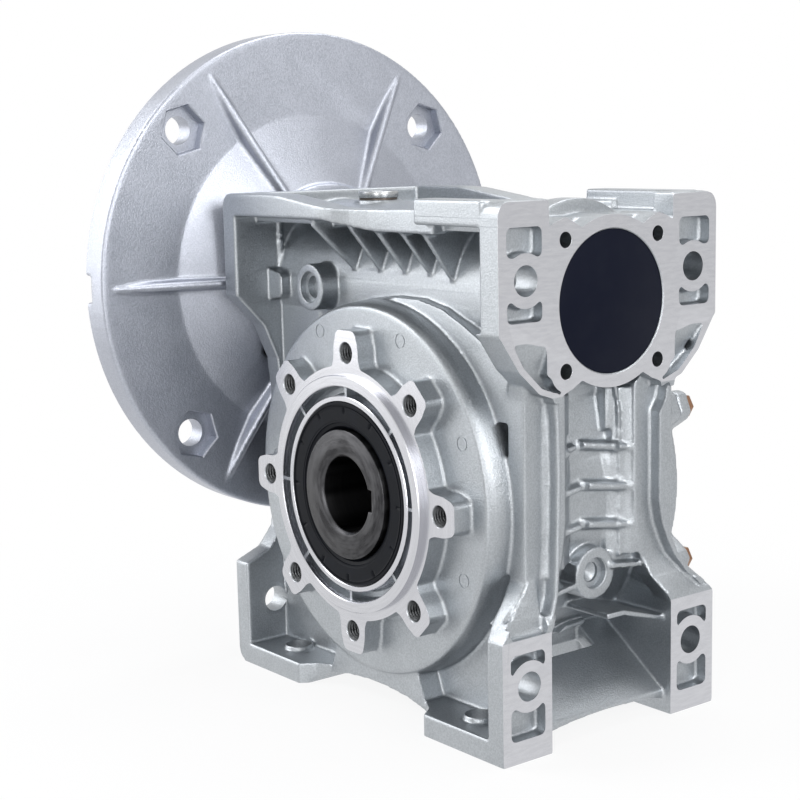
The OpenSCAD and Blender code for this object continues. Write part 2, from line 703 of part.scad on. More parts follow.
// Axial place of a thread flank (side -1 or 1) at depth d below the worm axis, in the plane y
function flank_x(d, y, side) =
  side * thread_half(norm([d, y]), backlash / 4) + thread_pitch * atan(y / d) / 360;
function flank_slope(d, y, side) = (flank_x(d + 0.01, y, side) - flank_x(d - 0.01, y, side)) / 0.02;

// Where the wheel touches that flank: the normal there passes through the pitch point
function reach_x(d, y, side) = (worm_pitch_r - d) / flank_slope(d, y, side);
function touch_r(d, y, side) = norm([reach_x(d, y, side), centre_distance - d]);
function touch_angle(d, y, side) = let (u = reach_x(d, y, side) - flank_x(d, y, side))
  atan2(reach_x(d, y, side), centre_distance - d) - u / wheel_pitch_r * 180 / PI;

// Depth at which the touching radius is r, found by halving
function depth_at(r, y, side, lo, hi, n) = n == 0 ? (lo + hi) / 2 :
  let (mid = (lo + hi) / 2)
  touch_r(mid, y, side) > r ? depth_at(r, y, side, mid, hi, n - 1) : depth_at(r, y, side, lo, mid, n - 1);
function gap_angle(r, y, side) =
  touch_angle(depth_at(r, y, side, worm_pitch_r - worm_module * 1.6, worm_pitch_r + worm_module * 1.25, 24), y, side);

// Root and tip of the wheel in the plane y: both follow the worm round its axis
throat_r = worm_root_r + root_room;
function gap_root(y) = centre_distance - sqrt(pow(worm_tip_r + root_room, 2) - y * y);
function tooth_tip(y) = abs(y) < throat_r - 1 ?
  min(wheel_tip_r - worm_module / 2, centre_distance - sqrt(throat_r * throat_r - y * y)) :
  wheel_tip_r - worm_module / 2;

gap_steps = 3;
function gap_points(y, side) = let (r0 = gap_root(y), r1 = max(tooth_tip(y), r0 + 0.6))
  [for (k = [0 : gap_steps]) let (r = r0 + (r1 - r0) * k / gap_steps, rc = max(r, wheel_pitch_r - worm_module))
    [r, gap_angle(rc, y, side)]];
function gap_section(y) = let (a = gap_points(y, -1), b = gap_points(y, 1))
  concat([for (k = [gap_steps : -1 : 0]) a[k]], b);

rim_slices = [for (k = [-3 : 3]) k * rim_w / 6];
rim_in_r = wheel_pitch_r - 14;
function rim_ring(y) = let (s = gap_section(y)) [for (t = [0 : wheel_teeth - 1], p = s)
  let (a = p[1] + t * 360 / wheel_teeth) [p[0] * sin(a), y, p[0] * cos(a)]];
function rim_bore(y) = [for (t = [0 : wheel_teeth * 2 - 1]) let (a = t * 180 / wheel_teeth - 45 / wheel_teeth)
  [rim_in_r * sin(a), y, rim_in_r * cos(a)]];

module worm_wheel_rim() {
  per = 2 * (gap_steps + 1);
  n = per * wheel_teeth;
  m = 2 * wheel_teeth;
  rows = len(rim_slices);
  outer = [for (y = rim_slices) each rim_ring(y)];
  inner = [for (y = rim_slices) if (y == rim_slices[0] || y == rim_slices[rows - 1]) each rim_bore(y)];
  base = len(outer);
  last = (rows - 1) * n;
  faces = concat(
    [for (i = [0 : rows - 2], j = [0 : n - 1]) each let (a = i * n + j, b = i * n + (j + 1) % n)
      [[a, b, b + n], [a, b + n, a + n]]],
    [for (j = [0 : m - 1]) each let (a = base + j, b = base + (j + 1) % m) [[a, b + m, b], [a, a + m, b + m]]],
    [for (j = [0 : n - 1]) each let (a = j, b = (j + 1) % n, q = base + floor(j * 2 / per) % m)
      [[a, q, b], [a + last, b + last, q + m]]],
    [for (t = [0 : m - 1]) each let (j = ((t + 1) * per / 2) % n, q = base + t, w = base + (t + 1) % m)
      [[q, w, j], [j + last, w + m, q + m]]]);
  color("#b08a3e") polyhedron(points = concat(outer, inner), faces = faces, convexity = 10);
}

hub_r = rim_in_r * cos(90 / wheel_teeth) - 0.05;
module output_shaft() {
  shoulder = out_brg_y - 0.05;
  color("#4a4a4c") difference() {
    union() {
      turn_y(shaft_d / 2, -shaft_len / 2, shaft_len / 2);
      turn_y(shaft_d / 2 + 5, -shoulder, shoulder);
      turn_y(hub_r, -rim_w / 2 + 3, rim_w / 2 - 3);
    }
    turn_y(bore_d / 2, -shaft_len / 2 - 1, shaft_len / 2 + 1);
    translate([0, -shaft_len / 2 - 1, -key_w / 2]) cube([bore_d / 2 + key_h, shaft_len + 2, key_w]);
    both_y() lathe_y() polygon([[bore_d / 2 - 1, -shaft_len / 2 - 1], [bore_d / 2 + 2.5, -shaft_len / 2 - 1],
      [bore_d / 2 - 1, -shaft_len / 2 + 2.5]]);
    both_y() lathe_y() polygon([[hub_r - 8, rim_w / 2 + 1], [shaft_d / 2 + 10, rim_w / 2 + 1],
      [shaft_d / 2 + 10, rim_w / 2 - 8], [hub_r - 8, rim_w / 2 - 8]]);
  }
}

// Worm shaft

function thread_x(i, j) = let (k = i % 4, t = floor(i / 4),
  off = [-thread_half(worm_root_r, -backlash / 4), -thread_half(worm_tip_r, -backlash / 4),
    thread_half(worm_tip_r, -backlash / 4), thread_half(worm_root_r, -backlash / 4)][k])
  thread_start + thread_pitch * (t + j / thread_facets) + off;
function thread_r(i) = let (k = i % 4) k == 1 || k == 2 ? worm_tip_r : worm_root_r;

// Thread and core as one surface: rows climb the thread profile, columns go round
module worm_thread() {
  n = thread_facets;
  rows = 4 * thread_turns + 4;
  pts = [for (i = [0 : rows - 1], j = [0 : n - 1]) let (a = 360 * j / n, r = thread_r(i))
    [thread_x(i, j), r * cos(a), r * sin(a)]];
  ends = [[thread_x(0, 0) - 0.5, 0, 0], [thread_x(rows - 1, 0) + 0.5, 0, 0]];
  e0 = len(pts);
  function at(i, j) = j < n ? i * n + j : (i + 4) * n;
  faces = concat(
    [for (i = [0 : rows - 6], j = [0 : n - 1]) each [[at(i, j), at(i + 1, j), at(i + 1, j + 1)],
      [at(i, j), at(i + 1, j + 1), at(i, j + 1)]]],
    [for (j = [0 : n - 1]) [e0, at(0, j), at(0, j + 1)]],
    [for (k = [0 : 3]) [e0, at(k + 1, 0), at(k, 0)]],
    [for (j = [0 : n - 1]) [e0 + 1, at(rows - 5, j + 1), at(rows - 5, j)]],
    [for (k = [0 : 3]) [e0 + 1, at(rows - 5 + k, 0), at(rows - 4 + k, 0)]]);
  translate([0, 0, centre_distance]) polyhedron(points = concat(pts, ends), faces = faces, convexity = 10);
}

module worm_shaft() {
  color("#8d9094") difference() {
    union() {
      worm_thread();
      turn_x(input_d / 2, input_end_x, -thread_reach);
      turn_x(input_d / 2 + 3, in_brg_x + in_brg_w + 0.05, -thread_reach - 1);
      turn_x(worm_root_r - 1, -thread_reach - 2, thread_reach + 8);
      turn_x(tail_d / 2 + 2.5, thread_reach + 6, tail_brg_x - 0.05);
      turn_x(tail_d / 2, thread_reach + 7, tail_brg_x + tail_brg_w);
    }
    turn_x(motor_bore_d / 2, input_end_x - 1, input_end_x + motor_bore_len);
    translate([input_end_x - 1, -motor_key_w / 2, centre_distance])
      cube([motor_bore_len + 1, motor_key_w, motor_bore_d / 2 + motor_key_h]);
  }
}

// Bearings

// Deep-groove bearing, turned about Z from z = 0: race rings, cage and balls
ball_fill = 0.3;
function ball_r(id, od) = (od - id) / 2 * ball_fill;
function pitch_r(id, od) = (od + id) / 4;
module race(r0, r1, w, pr, br) {
  difference() {
    rotate_extrude() translate([r0, 0]) square([r1 - r0, w]);
    rotate_extrude() translate([pr, w / 2]) circle(r = br * 1.05);
  }
}
module bearing_outer(id, od, w) {
  pr = pitch_r(id, od);
  br = ball_r(id, od);
  race(pr + 0.5 * br, od / 2 - seat_gap, w, pr, br);
}
module bearing_inner(id, od, w) {
  pr = pitch_r(id, od);
  br = ball_r(id, od);
  race(id / 2 + seat_gap, pr - 0.5 * br, w, pr, br);
}
function ball_count(id, od) = floor(PI / asin(ball_r(id, od) * 1.3 / pitch_r(id, od)) * 180 / PI);
module bearing_balls(id, od, w) {
  n = ball_count(id, od);
  for (k = [0 : n - 1]) rotate([0, 0, 360 * k / n]) translate([pitch_r(id, od), 0, w / 2])
    sphere(r = ball_r(id, od), $fn = 32);
}
module bearing_cage(id, od, w) {
  n = ball_count(id, od);
  pr = pitch_r(id, od);
  br = ball_r(id, od);
  difference() {
    translate([0, 0, w / 2 - br - 1.2]) rotate_extrude() translate([pr - 0.28 * br, 0]) square([0.56 * br, 2 * br + 2.4]);
    for (k = [0 : n - 1]) rotate([0, 0, 360 * k / n]) translate([pr - br, 0, w / 2]) rotate([0, 90, 0])
      cylinder(r = br + 0.2, h = 2 * br);
  }
}

module front_seat() { translate([0, -out_brg_end, 0]) rotate([-90, 0, 0]) children(); }
module rear_seat() { translate([0, out_brg_y, 0]) rotate([-90, 0, 0]) children(); }
module input_seat() { translate([in_brg_x, 0, centre_distance]) rotate([0, 90, 0]) children(); }
module tail_seat() { translate([tail_brg_x, 0, centre_distance]) rotate([0, 90, 0]) children(); }

module front_bearing_outer() { color("#9a9da1") front_seat() bearing_outer(shaft_d, out_brg_d, out_brg_w); }
module front_bearing_inner() { color("#9a9da1") front_seat() bearing_inner(shaft_d, out_brg_d, out_brg_w); }
module front_bearing_cage() { color("#8a7a55") front_seat() bearing_cage(shaft_d, out_brg_d, out_brg_w); }
module front_bearing_balls() { color("#c8cacd") front_seat() bearing_balls(shaft_d, out_brg_d, out_brg_w); }
module rear_bearing_outer() { color("#9a9da1") rear_seat() bearing_outer(shaft_d, out_brg_d, out_brg_w); }
module rear_bearing_inner() { color("#9a9da1") rear_seat() bearing_inner(shaft_d, out_brg_d, out_brg_w); }
module rear_bearing_cage() { color("#8a7a55") rear_seat() bearing_cage(shaft_d, out_brg_d, out_brg_w); }
module rear_bearing_balls() { color("#c8cacd") rear_seat() bearing_balls(shaft_d, out_brg_d, out_brg_w); }
module input_bearing_outer() { color("#9a9da1") input_seat() bearing_outer(input_d, in_brg_d, in_brg_w); }
module input_bearing_inner() { color("#9a9da1") input_seat() bearing_inner(input_d, in_brg_d, in_brg_w); }
module input_bearing_cage() { color("#8a7a55") input_seat() bearing_cage(input_d, in_brg_d, in_brg_w); }
module input_bearing_balls() { color("#c8cacd") input_seat() bearing_balls(input_d, in_brg_d, in_brg_w); }
module tail_bearing_outer() { color("#9a9da1") tail_seat() bearing_outer(tail_d, tail_brg_d, tail_brg_w); }
module tail_bearing_inner() { color("#9a9da1") tail_seat() bearing_inner(tail_d, tail_brg_d, tail_brg_w); }
module tail_bearing_cage() { color("#8a7a55") tail_seat() bearing_cage(tail_d, tail_brg_d, tail_brg_w); }
module tail_bearing_balls() { color("#c8cacd") tail_seat() bearing_balls(tail_d, tail_brg_d, tail_brg_w); }

// Seals, rings and caps

// Lip seal section in (radius, depth): rim, back and a lip that leans to the shaft
module seal_ring(r_shaft, r_seat, w) {
  rotate_extrude() polygon([[r_seat - seat_gap, 0], [r_seat - seat_gap, w], [r_seat - 3, w],
    [r_seat - 3, 2.4], [r_shaft + 3.2, 2.4], [r_shaft + 2.6, w - 2], [r_shaft + run_gap, w - 3.4],
    [r_shaft + 0.8, 0.6], [r_shaft + 2.4, 0]]);
}
module front_seal() {
  color("#1d1f24") translate([0, -seal_seat_y - out_seal_w, 0]) rotate([-90, 0, 0])
    seal_ring(shaft_d / 2, out_seal_d / 2, out_seal_w);
}
module rear_seal() {
  color("#1d1f24") mirror([0, 1, 0]) translate([0, -seal_seat_y - out_seal_w, 0]) rotate([-90, 0, 0])
    seal_ring(shaft_d / 2, out_seal_d / 2, out_seal_w);
}
module input_seal() {
  color("#1d1f24") translate([in_seal_x, 0, centre_distance]) rotate([0, 90, 0])
    seal_ring(input_d / 2, tube_in_r, in_seal_w);
}

// Internal retaining ring, open at the bottom between its two eyes
module circlip(r_bore, t) {
  difference() {
    union() {
      difference() {
        cylinder(r = r_bore + 1.6, h = t);
        translate([0, 0, -1]) cylinder(r = r_bore - 3, h = t + 2);
      }
      for (s = [-1, 1]) translate([r_bore - 4.5, s * 6, 0]) cylinder(r = 3, h = t);
    }
    translate([0, -2.5, -1]) cube([r_bore + 5, 5, t + 2]);
    for (s = [-1, 1]) translate([r_bore - 4.5, s * 6, -1]) cylinder(r = 1.2, h = t + 2);
  }
}
module input_circlip() {
  color("#3a3c40") translate([in_clip_x, 0, centre_distance]) rotate([0, 90, 0]) circlip(tube_in_r, circlip_t);
}
module tail_circlip() {
  color("#3a3c40") translate([tail_clip_x, 0, centre_distance]) rotate([0, 90, 0]) circlip(tail_r, circlip_t);
}

module end_cap() {
  color("#17181d") difference() {
    turn_x(tail_r - seat_gap, tail_cap_x, tail_cap_x + cap_t);
    turn_x(tail_r - 3, tail_cap_x - 1, tail_cap_x + cap_t - 3);
  }
}

// Motor flange

module motor_flange() {
  rim_x = flange_face_x + flange_t;
  bell_r = 66;
  cone_r = 82.5;
  color("#b7b9c2") difference() {
    union() {
      turn_x(flange_d / 2, flange_face_x, rim_x);
      lathe_x() polygon([[0, rim_x - 1], [cone_r + 2.4, rim_x - 1], [cone_r, rim_x], [bell_r + 1, -half_len - 1.2],
        [bell_r - 2, -half_len], [0, -half_len]]);
      for (a = [0 : 60 : 359]) translate([0, 0, centre_distance]) rotate([a, 0, 0])
        rotate([0, 0, -90]) translate([0, 0, -flange_rib_t / 2]) linear_extrude(flange_rib_t)
          polygon([[bell_r - 6, rim_x - 1], [flange_d / 2 - 7, rim_x - 1], [flange_d / 2 - 7, rim_x + 0.8],
            [flange_d / 2 - 9, rim_x + 2.2], [bell_r + 7, -half_len - 0.4], [bell_r - 6, -half_len - 0.4]]);
    }
    turn_x(motor_pilot_d / 2, flange_face_x - 1, flange_face_x + motor_pilot_h);
    lathe_x() polygon([[0, flange_face_x + 1], [78, flange_face_x + 1], [76, rim_x - 2], [60.5, -half_len - 9], [0, -half_len - 9]]);
    turn_x(input_d / 2 + 8, flange_face_x, -half_len + 1);
    for (a = [45 : 90 : 359]) {
      y = motor_pcd / 2 * cos(a);
      z = centre_distance + motor_pcd / 2 * sin(a);
      turn_x(motor_hole_d / 2, flange_face_x - 1, rim_x + 1, y, z);
      translate([rim_x - hex_depth, y, z]) rotate([0, 90, 0]) rotate([0, 0, a]) cylinder(r = hex_flats / sqrt(3), h = hex_depth + 1, $fn = 6);
    }
    both_y() for (s = [-1, 1]) turn_x(flange_screw_d / 2 + screw_gap, -half_len - 20, -half_len + 1,
      flange_screw_at, centre_distance + s * flange_screw_at);
    turn_x(flange_oring_at + 1.2, -half_len - 2, -half_len + 1);
    both_y() translate([flange_face_x - 1, -flange_d / 2 - 1, centre_distance - 6.5]) cube([5, 36, 13]);
  }
}

module flange_oring() {
  color("#1c1d20") lathe_x() translate([flange_oring_at, -half_len - flange_oring_r - 0.05]) circle(r = flange_oring_r);
}

module flange_screws() {
  head_x = -half_len - 9;
  fl = flange_screw_at;
  color("#55585c") both_y() for (s = [-1, 1]) difference() {
    union() {
      turn_x(flange_screw_d / 2, head_x - 0.1, -half_len + flange_screw_depth, fl, centre_distance + s * fl);
      turn_x(flange_screw_d * 0.8, head_x - flange_screw_d, head_x, fl, centre_distance + s * fl);
    }
    translate([head_x - flange_screw_d - 1, fl, centre_distance + s * fl]) rotate([0, 90, 0])
      cylinder(r = 3.4, h = 5, $fn = 6);
  }
}

// Filler plug

module filler_washer() {
  color("#8e6f4a") translate([fill_x, 0, fill_head_z - 0.35]) difference() {
    cylinder(r = 9.5, h = 1);
    translate([0, 0, -1]) cylinder(r = fill_thread_r + 0.2, h = 3);
  }
}

module filler_plug() {
  color("#c9ccd0") translate([fill_x, 0, fill_head_z + 0.7]) difference() {
    union() {
      cylinder(r = 10, h = 3.2);
      translate([0, 0, -9]) cylinder(r = fill_thread_r, h = 9.1);
    }
    translate([0, 0, 0.4]) cylinder(r = 4.6, h = 4, $fn = 6);
  }
}

housing();
side_cover();
cover_oring();
cover_screws();
worm_wheel_rim();
output_shaft();
worm_shaft();
front_bearing_outer();
front_bearing_inner();
front_bearing_cage();
front_bearing_balls();
rear_bearing_outer();
rear_bearing_inner();
rear_bearing_cage();
rear_bearing_balls();
input_bearing_outer();
input_bearing_inner();
input_bearing_cage();
input_bearing_balls();
tail_bearing_outer();
tail_bearing_inner();
tail_bearing_cage();
tail_bearing_balls();
front_seal();
rear_seal();
input_seal();
input_circlip();
tail_circlip();
end_cap();
motor_flange();
flange_oring();
flange_screws();
filler_plug();
filler_washer();
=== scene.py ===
import json
import math

import bmesh
import bpy
import numpy as np
from mathutils import Matrix, Vector


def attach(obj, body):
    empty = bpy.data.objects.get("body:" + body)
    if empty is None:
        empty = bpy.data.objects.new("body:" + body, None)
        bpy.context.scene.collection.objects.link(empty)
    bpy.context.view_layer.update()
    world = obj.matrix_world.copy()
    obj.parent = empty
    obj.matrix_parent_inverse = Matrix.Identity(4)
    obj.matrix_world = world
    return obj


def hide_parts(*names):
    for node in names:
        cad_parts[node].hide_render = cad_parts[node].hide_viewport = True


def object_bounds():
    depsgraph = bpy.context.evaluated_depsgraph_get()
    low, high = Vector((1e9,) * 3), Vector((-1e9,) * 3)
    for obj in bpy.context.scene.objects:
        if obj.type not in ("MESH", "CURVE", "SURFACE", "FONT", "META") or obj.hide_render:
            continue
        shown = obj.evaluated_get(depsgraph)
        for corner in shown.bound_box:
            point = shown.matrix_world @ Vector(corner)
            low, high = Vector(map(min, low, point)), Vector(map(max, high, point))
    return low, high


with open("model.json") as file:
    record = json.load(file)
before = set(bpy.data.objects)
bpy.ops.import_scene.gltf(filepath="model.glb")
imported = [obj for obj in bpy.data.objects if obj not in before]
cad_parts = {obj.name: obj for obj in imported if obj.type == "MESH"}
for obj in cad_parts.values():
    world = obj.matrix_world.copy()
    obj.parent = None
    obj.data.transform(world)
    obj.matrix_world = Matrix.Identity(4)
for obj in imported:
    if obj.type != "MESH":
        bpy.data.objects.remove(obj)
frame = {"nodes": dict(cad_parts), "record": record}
nodes = frame["nodes"]
cadLow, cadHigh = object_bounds()
mm = 0.001
axisZ = 90  # height of the worm axis, in millimetres as all places below
weldWithin = 0.0005 * mm  # corners closer than this are one
slotOf = {row["node"]: row["material_slot"] for row in frame["record"]["subparts"]}
print("frame loaded:", len(nodes), "nodes")


# Shader maths: a socket that takes part in Python expressions

class Value:
    def __init__(self, maker, socket):
        self.maker = maker
        self.socket = socket

    def math(self, operation, *others):
        return self.maker.node("ShaderNodeMath", {"operation": operation}, (self, *others))

    def __add__(self, other):
        return self.math("ADD", other)

    def __radd__(self, other):
        return self.math("ADD", other)

    def __sub__(self, other):
        return self.math("SUBTRACT", other)

    def __rsub__(self, other):
        return self.maker.node("ShaderNodeMath", {"operation": "SUBTRACT"}, (other, self))

    def __mul__(self, other):
        return self.math("MULTIPLY", other)

    def __rmul__(self, other):
        return self.math("MULTIPLY", other)

    def __abs__(self):
        return self.math("ABSOLUTE")

    def __pow__(self, other):
        return self.math("POWER", other)


class Finish:
    # One node material: node() adds any node, and a Value wraps what it gives
    def __init__(self, name):
        self.material = bpy.data.materials.new(name)
        self.material.use_nodes = True
        self.tree = self.material.node_tree
        self.shader = self.tree.nodes["Principled BSDF"]
        self.position = self.node("ShaderNodeTexCoord", {}, (), "Object")
        self.x, self.y, self.z = (self.node("ShaderNodeSeparateXYZ", {}, (self.position,), k) for k in "XYZ")

    def node(self, kind, settings, inputs=(), output=0):
        made = self.tree.nodes.new(kind)
        for key, setting in settings.items():
            setattr(made, key, setting)
        given = inputs.items() if isinstance(inputs, dict) else enumerate(inputs)
        for key, value in given:
            self.link(value, made.inputs[key])
        return Value(self, made.outputs[output])

    def link(self, value, socket):
        if isinstance(value, Value):
            self.tree.links.new(value.socket, socket)
        else:
            socket.default_value = value

    def set(self, **sockets):
        for key, value in sockets.items():
            self.link(value, self.shader.inputs[key.replace("_", " ")])
        return self.material

    def noise(self, size, detail=2.0, roughness=0.5, position=None):
        where = self.position if position is None else position
        inputs = {"Vector": where, "Scale": 1 / size, "Detail": detail, "Roughness": roughness}
        return self.node("ShaderNodeTexNoise", {}, inputs)

    def rise(self, value, low, high):  # 0 below low, 1 above high, smooth between
        settings = {"interpolation_type": "SMOOTHSTEP"}
        return self.node("ShaderNodeMapRange", settings, {"Value": value, "From Min": low, "From Max": high})

    def mix(self, factor, first, second):
        return self.node("ShaderNodeMix", {"data_type": "RGBA"}, {0: factor, 6: first, 7: second}, 2)

    def past(self, value, edge):  # the same between two depths or radii given in millimetres
        return self.rise(value, edge[0] * mm, edge[1] * mm)

    def bump(self, height, strength, distance):
        return self.node("ShaderNodeBump", {}, {"Height": height, "Strength": strength, "Distance": distance})

    def span(self, first, second):  # distance from an axis that the two coordinates are square to
        return (first * first + second * second) ** 0.5


def rgb(red, green, blue):
    return (red, green, blue, 1.0)


# The two output faces: radii from the output axis and depths from the middle, in millimetres

starLook = {
    "pitchRadius": 65, "core": 4.25, "threadDepth": 0.62, "pitch": 1.5, "holeDepth": 18,
    "mouth": (0.2, 1.6, 0.9), "tapStock": (0.6, 0.5, 1.9), "stockRadius": 51,
    "face": 67, "ringTop": 70, "ringRadius": 55, "innerTop": 68.8, "ringChamfer": 0.4, "rimRadius": 84,
    "openRadius": 41, "sealRadius": 42.5, "sealShoulder": 59.2, "sealChamfer": 0.6, "wall": 2.9,
    "groove": 4.5, "grooveFace": 68, "grooveEnd": 61, "ribWidth": 1.6, "ribTop": 67.5,
    "shaftSpace": 39.5, "chamber": (32, 34), "seatRadius": 47.5, "seatEnd": 54, "clear": 72, "past": 75,
}
starAngles = np.arange(8) * math.pi / 4


def onCircle(radius, angles):
    # Places round the output axis
    return [(radius * math.cos(a), 0, radius * math.sin(a)) for a in angles]


starPlaces = onCircle(starLook["pitchRadius"], starAngles)


# Finishes. An edge is the pair of depths, radii or heights between which a mask rises, in millimetres,
# and shares weigh two patterns against each other.

castLook = {
    "pale": rgb(0.475, 0.50, 0.525),
    "deep": rgb(0.33, 0.35, 0.37),
    "machined": rgb(0.60, 0.605, 0.635),
    "toolMark": rgb(0.555, 0.56, 0.59),
    # painted shade inside the tapped holes
    "paintedHoleShade": rgb(0.13, 0.135, 0.14),
    "speckle": 0.8 * mm,
    "speckleEdge": (0.34, 0.68),
    "blotch": 16 * mm,
    "shares": (0.6, 0.4),
    "roughCast": 0.31,
    "roughBlotch": 0.14,
    "roughMachined": 0.25,
    "markScale": (900, 130, 60),
    "markEdge": (0.25, 0.75),
    "markHeight": 0.02,
    "bump": 0.42,
    "bumpDepth": 0.12 * mm,
}
faceEdges = {"face": (66.85, 66.95), "inner": (45.4, 45.5), "outer": (49.7, 49.8), "top": (69.4, 69.5),
             "seat": (57.2, 57.3)}
tapEdges = {"radius": (4.9, 5.0), "deep": (45, 46), "mouth": (66.4, 66.8)}
caseEdges = {"pads": (50.3, 50.5), "end": (102.9, 102.95), "soles": (-102.95, -102.9)}
padsMiddle = 1.6  # height half-way between the upper and the lower pads
flangeEdge = (-133.95, -133.9)


def outputFaceMask(m, side):
    # The turned star face: all that stands past the face, but for the floor of the ring groove, and the
    # seat of the seal; side -1 is the front
    depth = m.y * side
    fromAxis = m.span(m.x, m.z)
    face = m.past(depth, faceEdges["face"])
    groove = m.past(fromAxis, faceEdges["inner"]) * (1 - m.past(fromAxis, faceEdges["outer"]))
    low = 1 - m.past(depth, faceEdges["top"])
    seat = m.past(depth, faceEdges["seat"]) * (1 - m.past(fromAxis, faceEdges["inner"]))
    return (face * (1 - groove * low)).math("MAXIMUM", seat)


def holeShadeMask(m):
    # Inside the eight tapped holes, where the colour is darkened as painted shade: distance from the nearest
    # hole's axis, by the cosine rule. The angle gets 8.5 steps more, so that it is never negative and a hole
    # lies in the middle of its step.
    fromAxis = m.span(m.x, m.z)
    turn = m.node("ShaderNodeMath", {"operation": "ARCTAN2"}, (m.z, m.x))
    pie = math.pi / 4
    inPie = (turn + 8.5 * pie).math("MODULO", pie) - 0.5 * pie
    pitch = starLook["pitchRadius"] * mm
    across = fromAxis * fromAxis + pitch ** 2 - fromAxis * inPie.math("COSINE") * (2 * pitch)
    near, far = tapEdges["radius"]
    inside = 1 - m.rise(across, (near * mm) ** 2, (far * mm) ** 2)
    depth = abs(m.y)
    return inside * m.past(depth, tapEdges["deep"]) * (1 - m.past(depth, tapEdges["mouth"]))


def caseMask(m):
    # The machined faces of the case: output face, end pads and soles
    pads = m.past(abs(m.z - padsMiddle * mm), caseEdges["pads"])
    ends = m.past(m.x, caseEdges["end"]) * pads
    soles = 1 - m.past(m.z, caseEdges["soles"])
    return outputFaceMask(m, -1).math("MAXIMUM", ends).math("MAXIMUM", soles)


def castMetal(name, look, maskOf, shadeHoles=True):
    # Blasted die casting: fine speckle in colour and height, brighter tool-marked machined faces, and a dark
    # colour inside the tapped holes as painted shade
    m = Finish(name)
    grain = m.rise(m.noise(look["speckle"], 3.0, 0.65), *look["speckleEdge"])
    blotch = m.noise(look["blotch"], 3.0)
    grainShare, blotchShare = look["shares"]
    cast = m.mix(grain * grainShare + blotch * blotchShare, look["deep"], look["pale"])
    machined = maskOf(m)
    outward, deep, across = look["markScale"]
    place = m.node("ShaderNodeCombineXYZ", {}, (m.span(m.x, m.z) * outward, m.y * deep, m.x * across))
    marks = m.noise(1.0, 2.0, 0.5, place)
    metal = m.mix(m.rise(marks, *look["markEdge"]), look["toolMark"], look["machined"])
    rough = look["roughCast"] + look["roughBlotch"] * blotch
    rough = rough + machined * (look["roughMachined"] - rough)
    height = (1 - machined) * grain + machined * marks * look["markHeight"]
    colour = m.mix(machined, cast, metal)
    # painted shade: the insides of the tapped holes get a dark colour that stands in for the shade in them
    if shadeHoles:
        colour = m.mix(holeShadeMask(m), colour, look["paintedHoleShade"])
    return m.set(
        Base_Color=colour, Metallic=1.0, Roughness=rough,
        Normal=m.bump(height, look["bump"], look["bumpDepth"]))


plainLook = {"streak": 0.6 * mm, "dull": 7 * mm, "shares": (0.6, 0.4), "roughStreak": 0.18, "bump": 0.12,
             "bumpDepth": 0.05 * mm}


def plainMetal(name, colour, roughness, shade=0.35):
    # Metal with faint fine streaks and duller patches
    m = Finish(name)
    streakShare, dullShare = plainLook["shares"]
    streak = m.noise(plainLook["streak"], 3.0, 0.6)
    dull = m.noise(plainLook["dull"], 3.0)
    dark = tuple(c * (1 - shade) for c in colour[:3]) + (1.0,)
    return m.set(
        Base_Color=m.mix(streak * streakShare + dull * dullShare, dark, colour), Metallic=1.0,
        Roughness=roughness + plainLook["roughStreak"] * streak,
        Normal=m.bump(streak, plainLook["bump"], plainLook["bumpDepth"]))


# the arc pattern and its edges make the painted highlight on the shaft; the rings are its tool marks
steelLook = {"ringScale": 900, "arcScale": (260, 70), "sheenArcEdge": (0.35, 0.65), "shares": (0.45, 0.55),
             "roughSheenArc": 0.14, "bump": 0.22, "bumpDepth": 0.06 * mm}


def turnedSteel(name, colour, dark, roughness):
    # Turned and oiled shaft: rings that follow the distance from the axis, with lighter arcs along the rings
    # that are a painted highlight
    m = Finish(name)
    fromAxis = m.span(m.x, m.z)
    fine = steelLook["ringScale"]
    outward, around = steelLook["arcScale"]
    ringPlace = m.node("ShaderNodeCombineXYZ", {}, (fromAxis * fine, m.y * fine, 0))
    arcPlace = m.node("ShaderNodeCombineXYZ", {}, (fromAxis * outward, m.x * around, m.z * around))
    rings = m.noise(1.0, 3.0, 0.6, ringPlace)
    # painted highlight: lighter arcs along the rings, stretched out from the axis, brighten the colour
    sheenArcs = m.rise(m.noise(1.0, 3.0, 0.6, arcPlace), *steelLook["sheenArcEdge"])
    ringShare, sheenShare = steelLook["shares"]
    return m.set(
        Base_Color=m.mix(rings * ringShare + sheenArcs * sheenShare, dark, colour), Metallic=1.0,
        Roughness=roughness + steelLook["roughSheenArc"] * sheenArcs,
        Normal=m.bump(rings, steelLook["bump"], steelLook["bumpDepth"]))


rubberLook = {"grain": 0.5 * mm, "patch": 9 * mm, "patchEdge": (0.4, 0.8), "dust": 0.3, "roughGrain": 0.1,
              "bump": 0.12, "bumpDepth": 0.05 * mm, "specular": 0.09, "sealEdge": (50, 51)}


def darkRubber(name, capColour, sealColour, dust, roughness):
    # Moulded rubber with a faint grain and a little dust; the output seals are less blue than the cap
    m = Finish(name)
    colour = m.mix(m.past(abs(m.y), rubberLook["sealEdge"]), capColour, sealColour)
    grain = m.noise(rubberLook["grain"], 2.0)
    patch = m.rise(m.noise(rubberLook["patch"], 3.0), *rubberLook["patchEdge"])
    return m.set(
        Base_Color=m.mix(patch * rubberLook["dust"], colour, dust), Metallic=0.0,
        Specular_IOR_Level=rubberLook["specular"], Roughness=roughness + rubberLook["roughGrain"] * grain,
        Normal=m.bump(grain, rubberLook["bump"], rubberLook["bumpDepth"]))


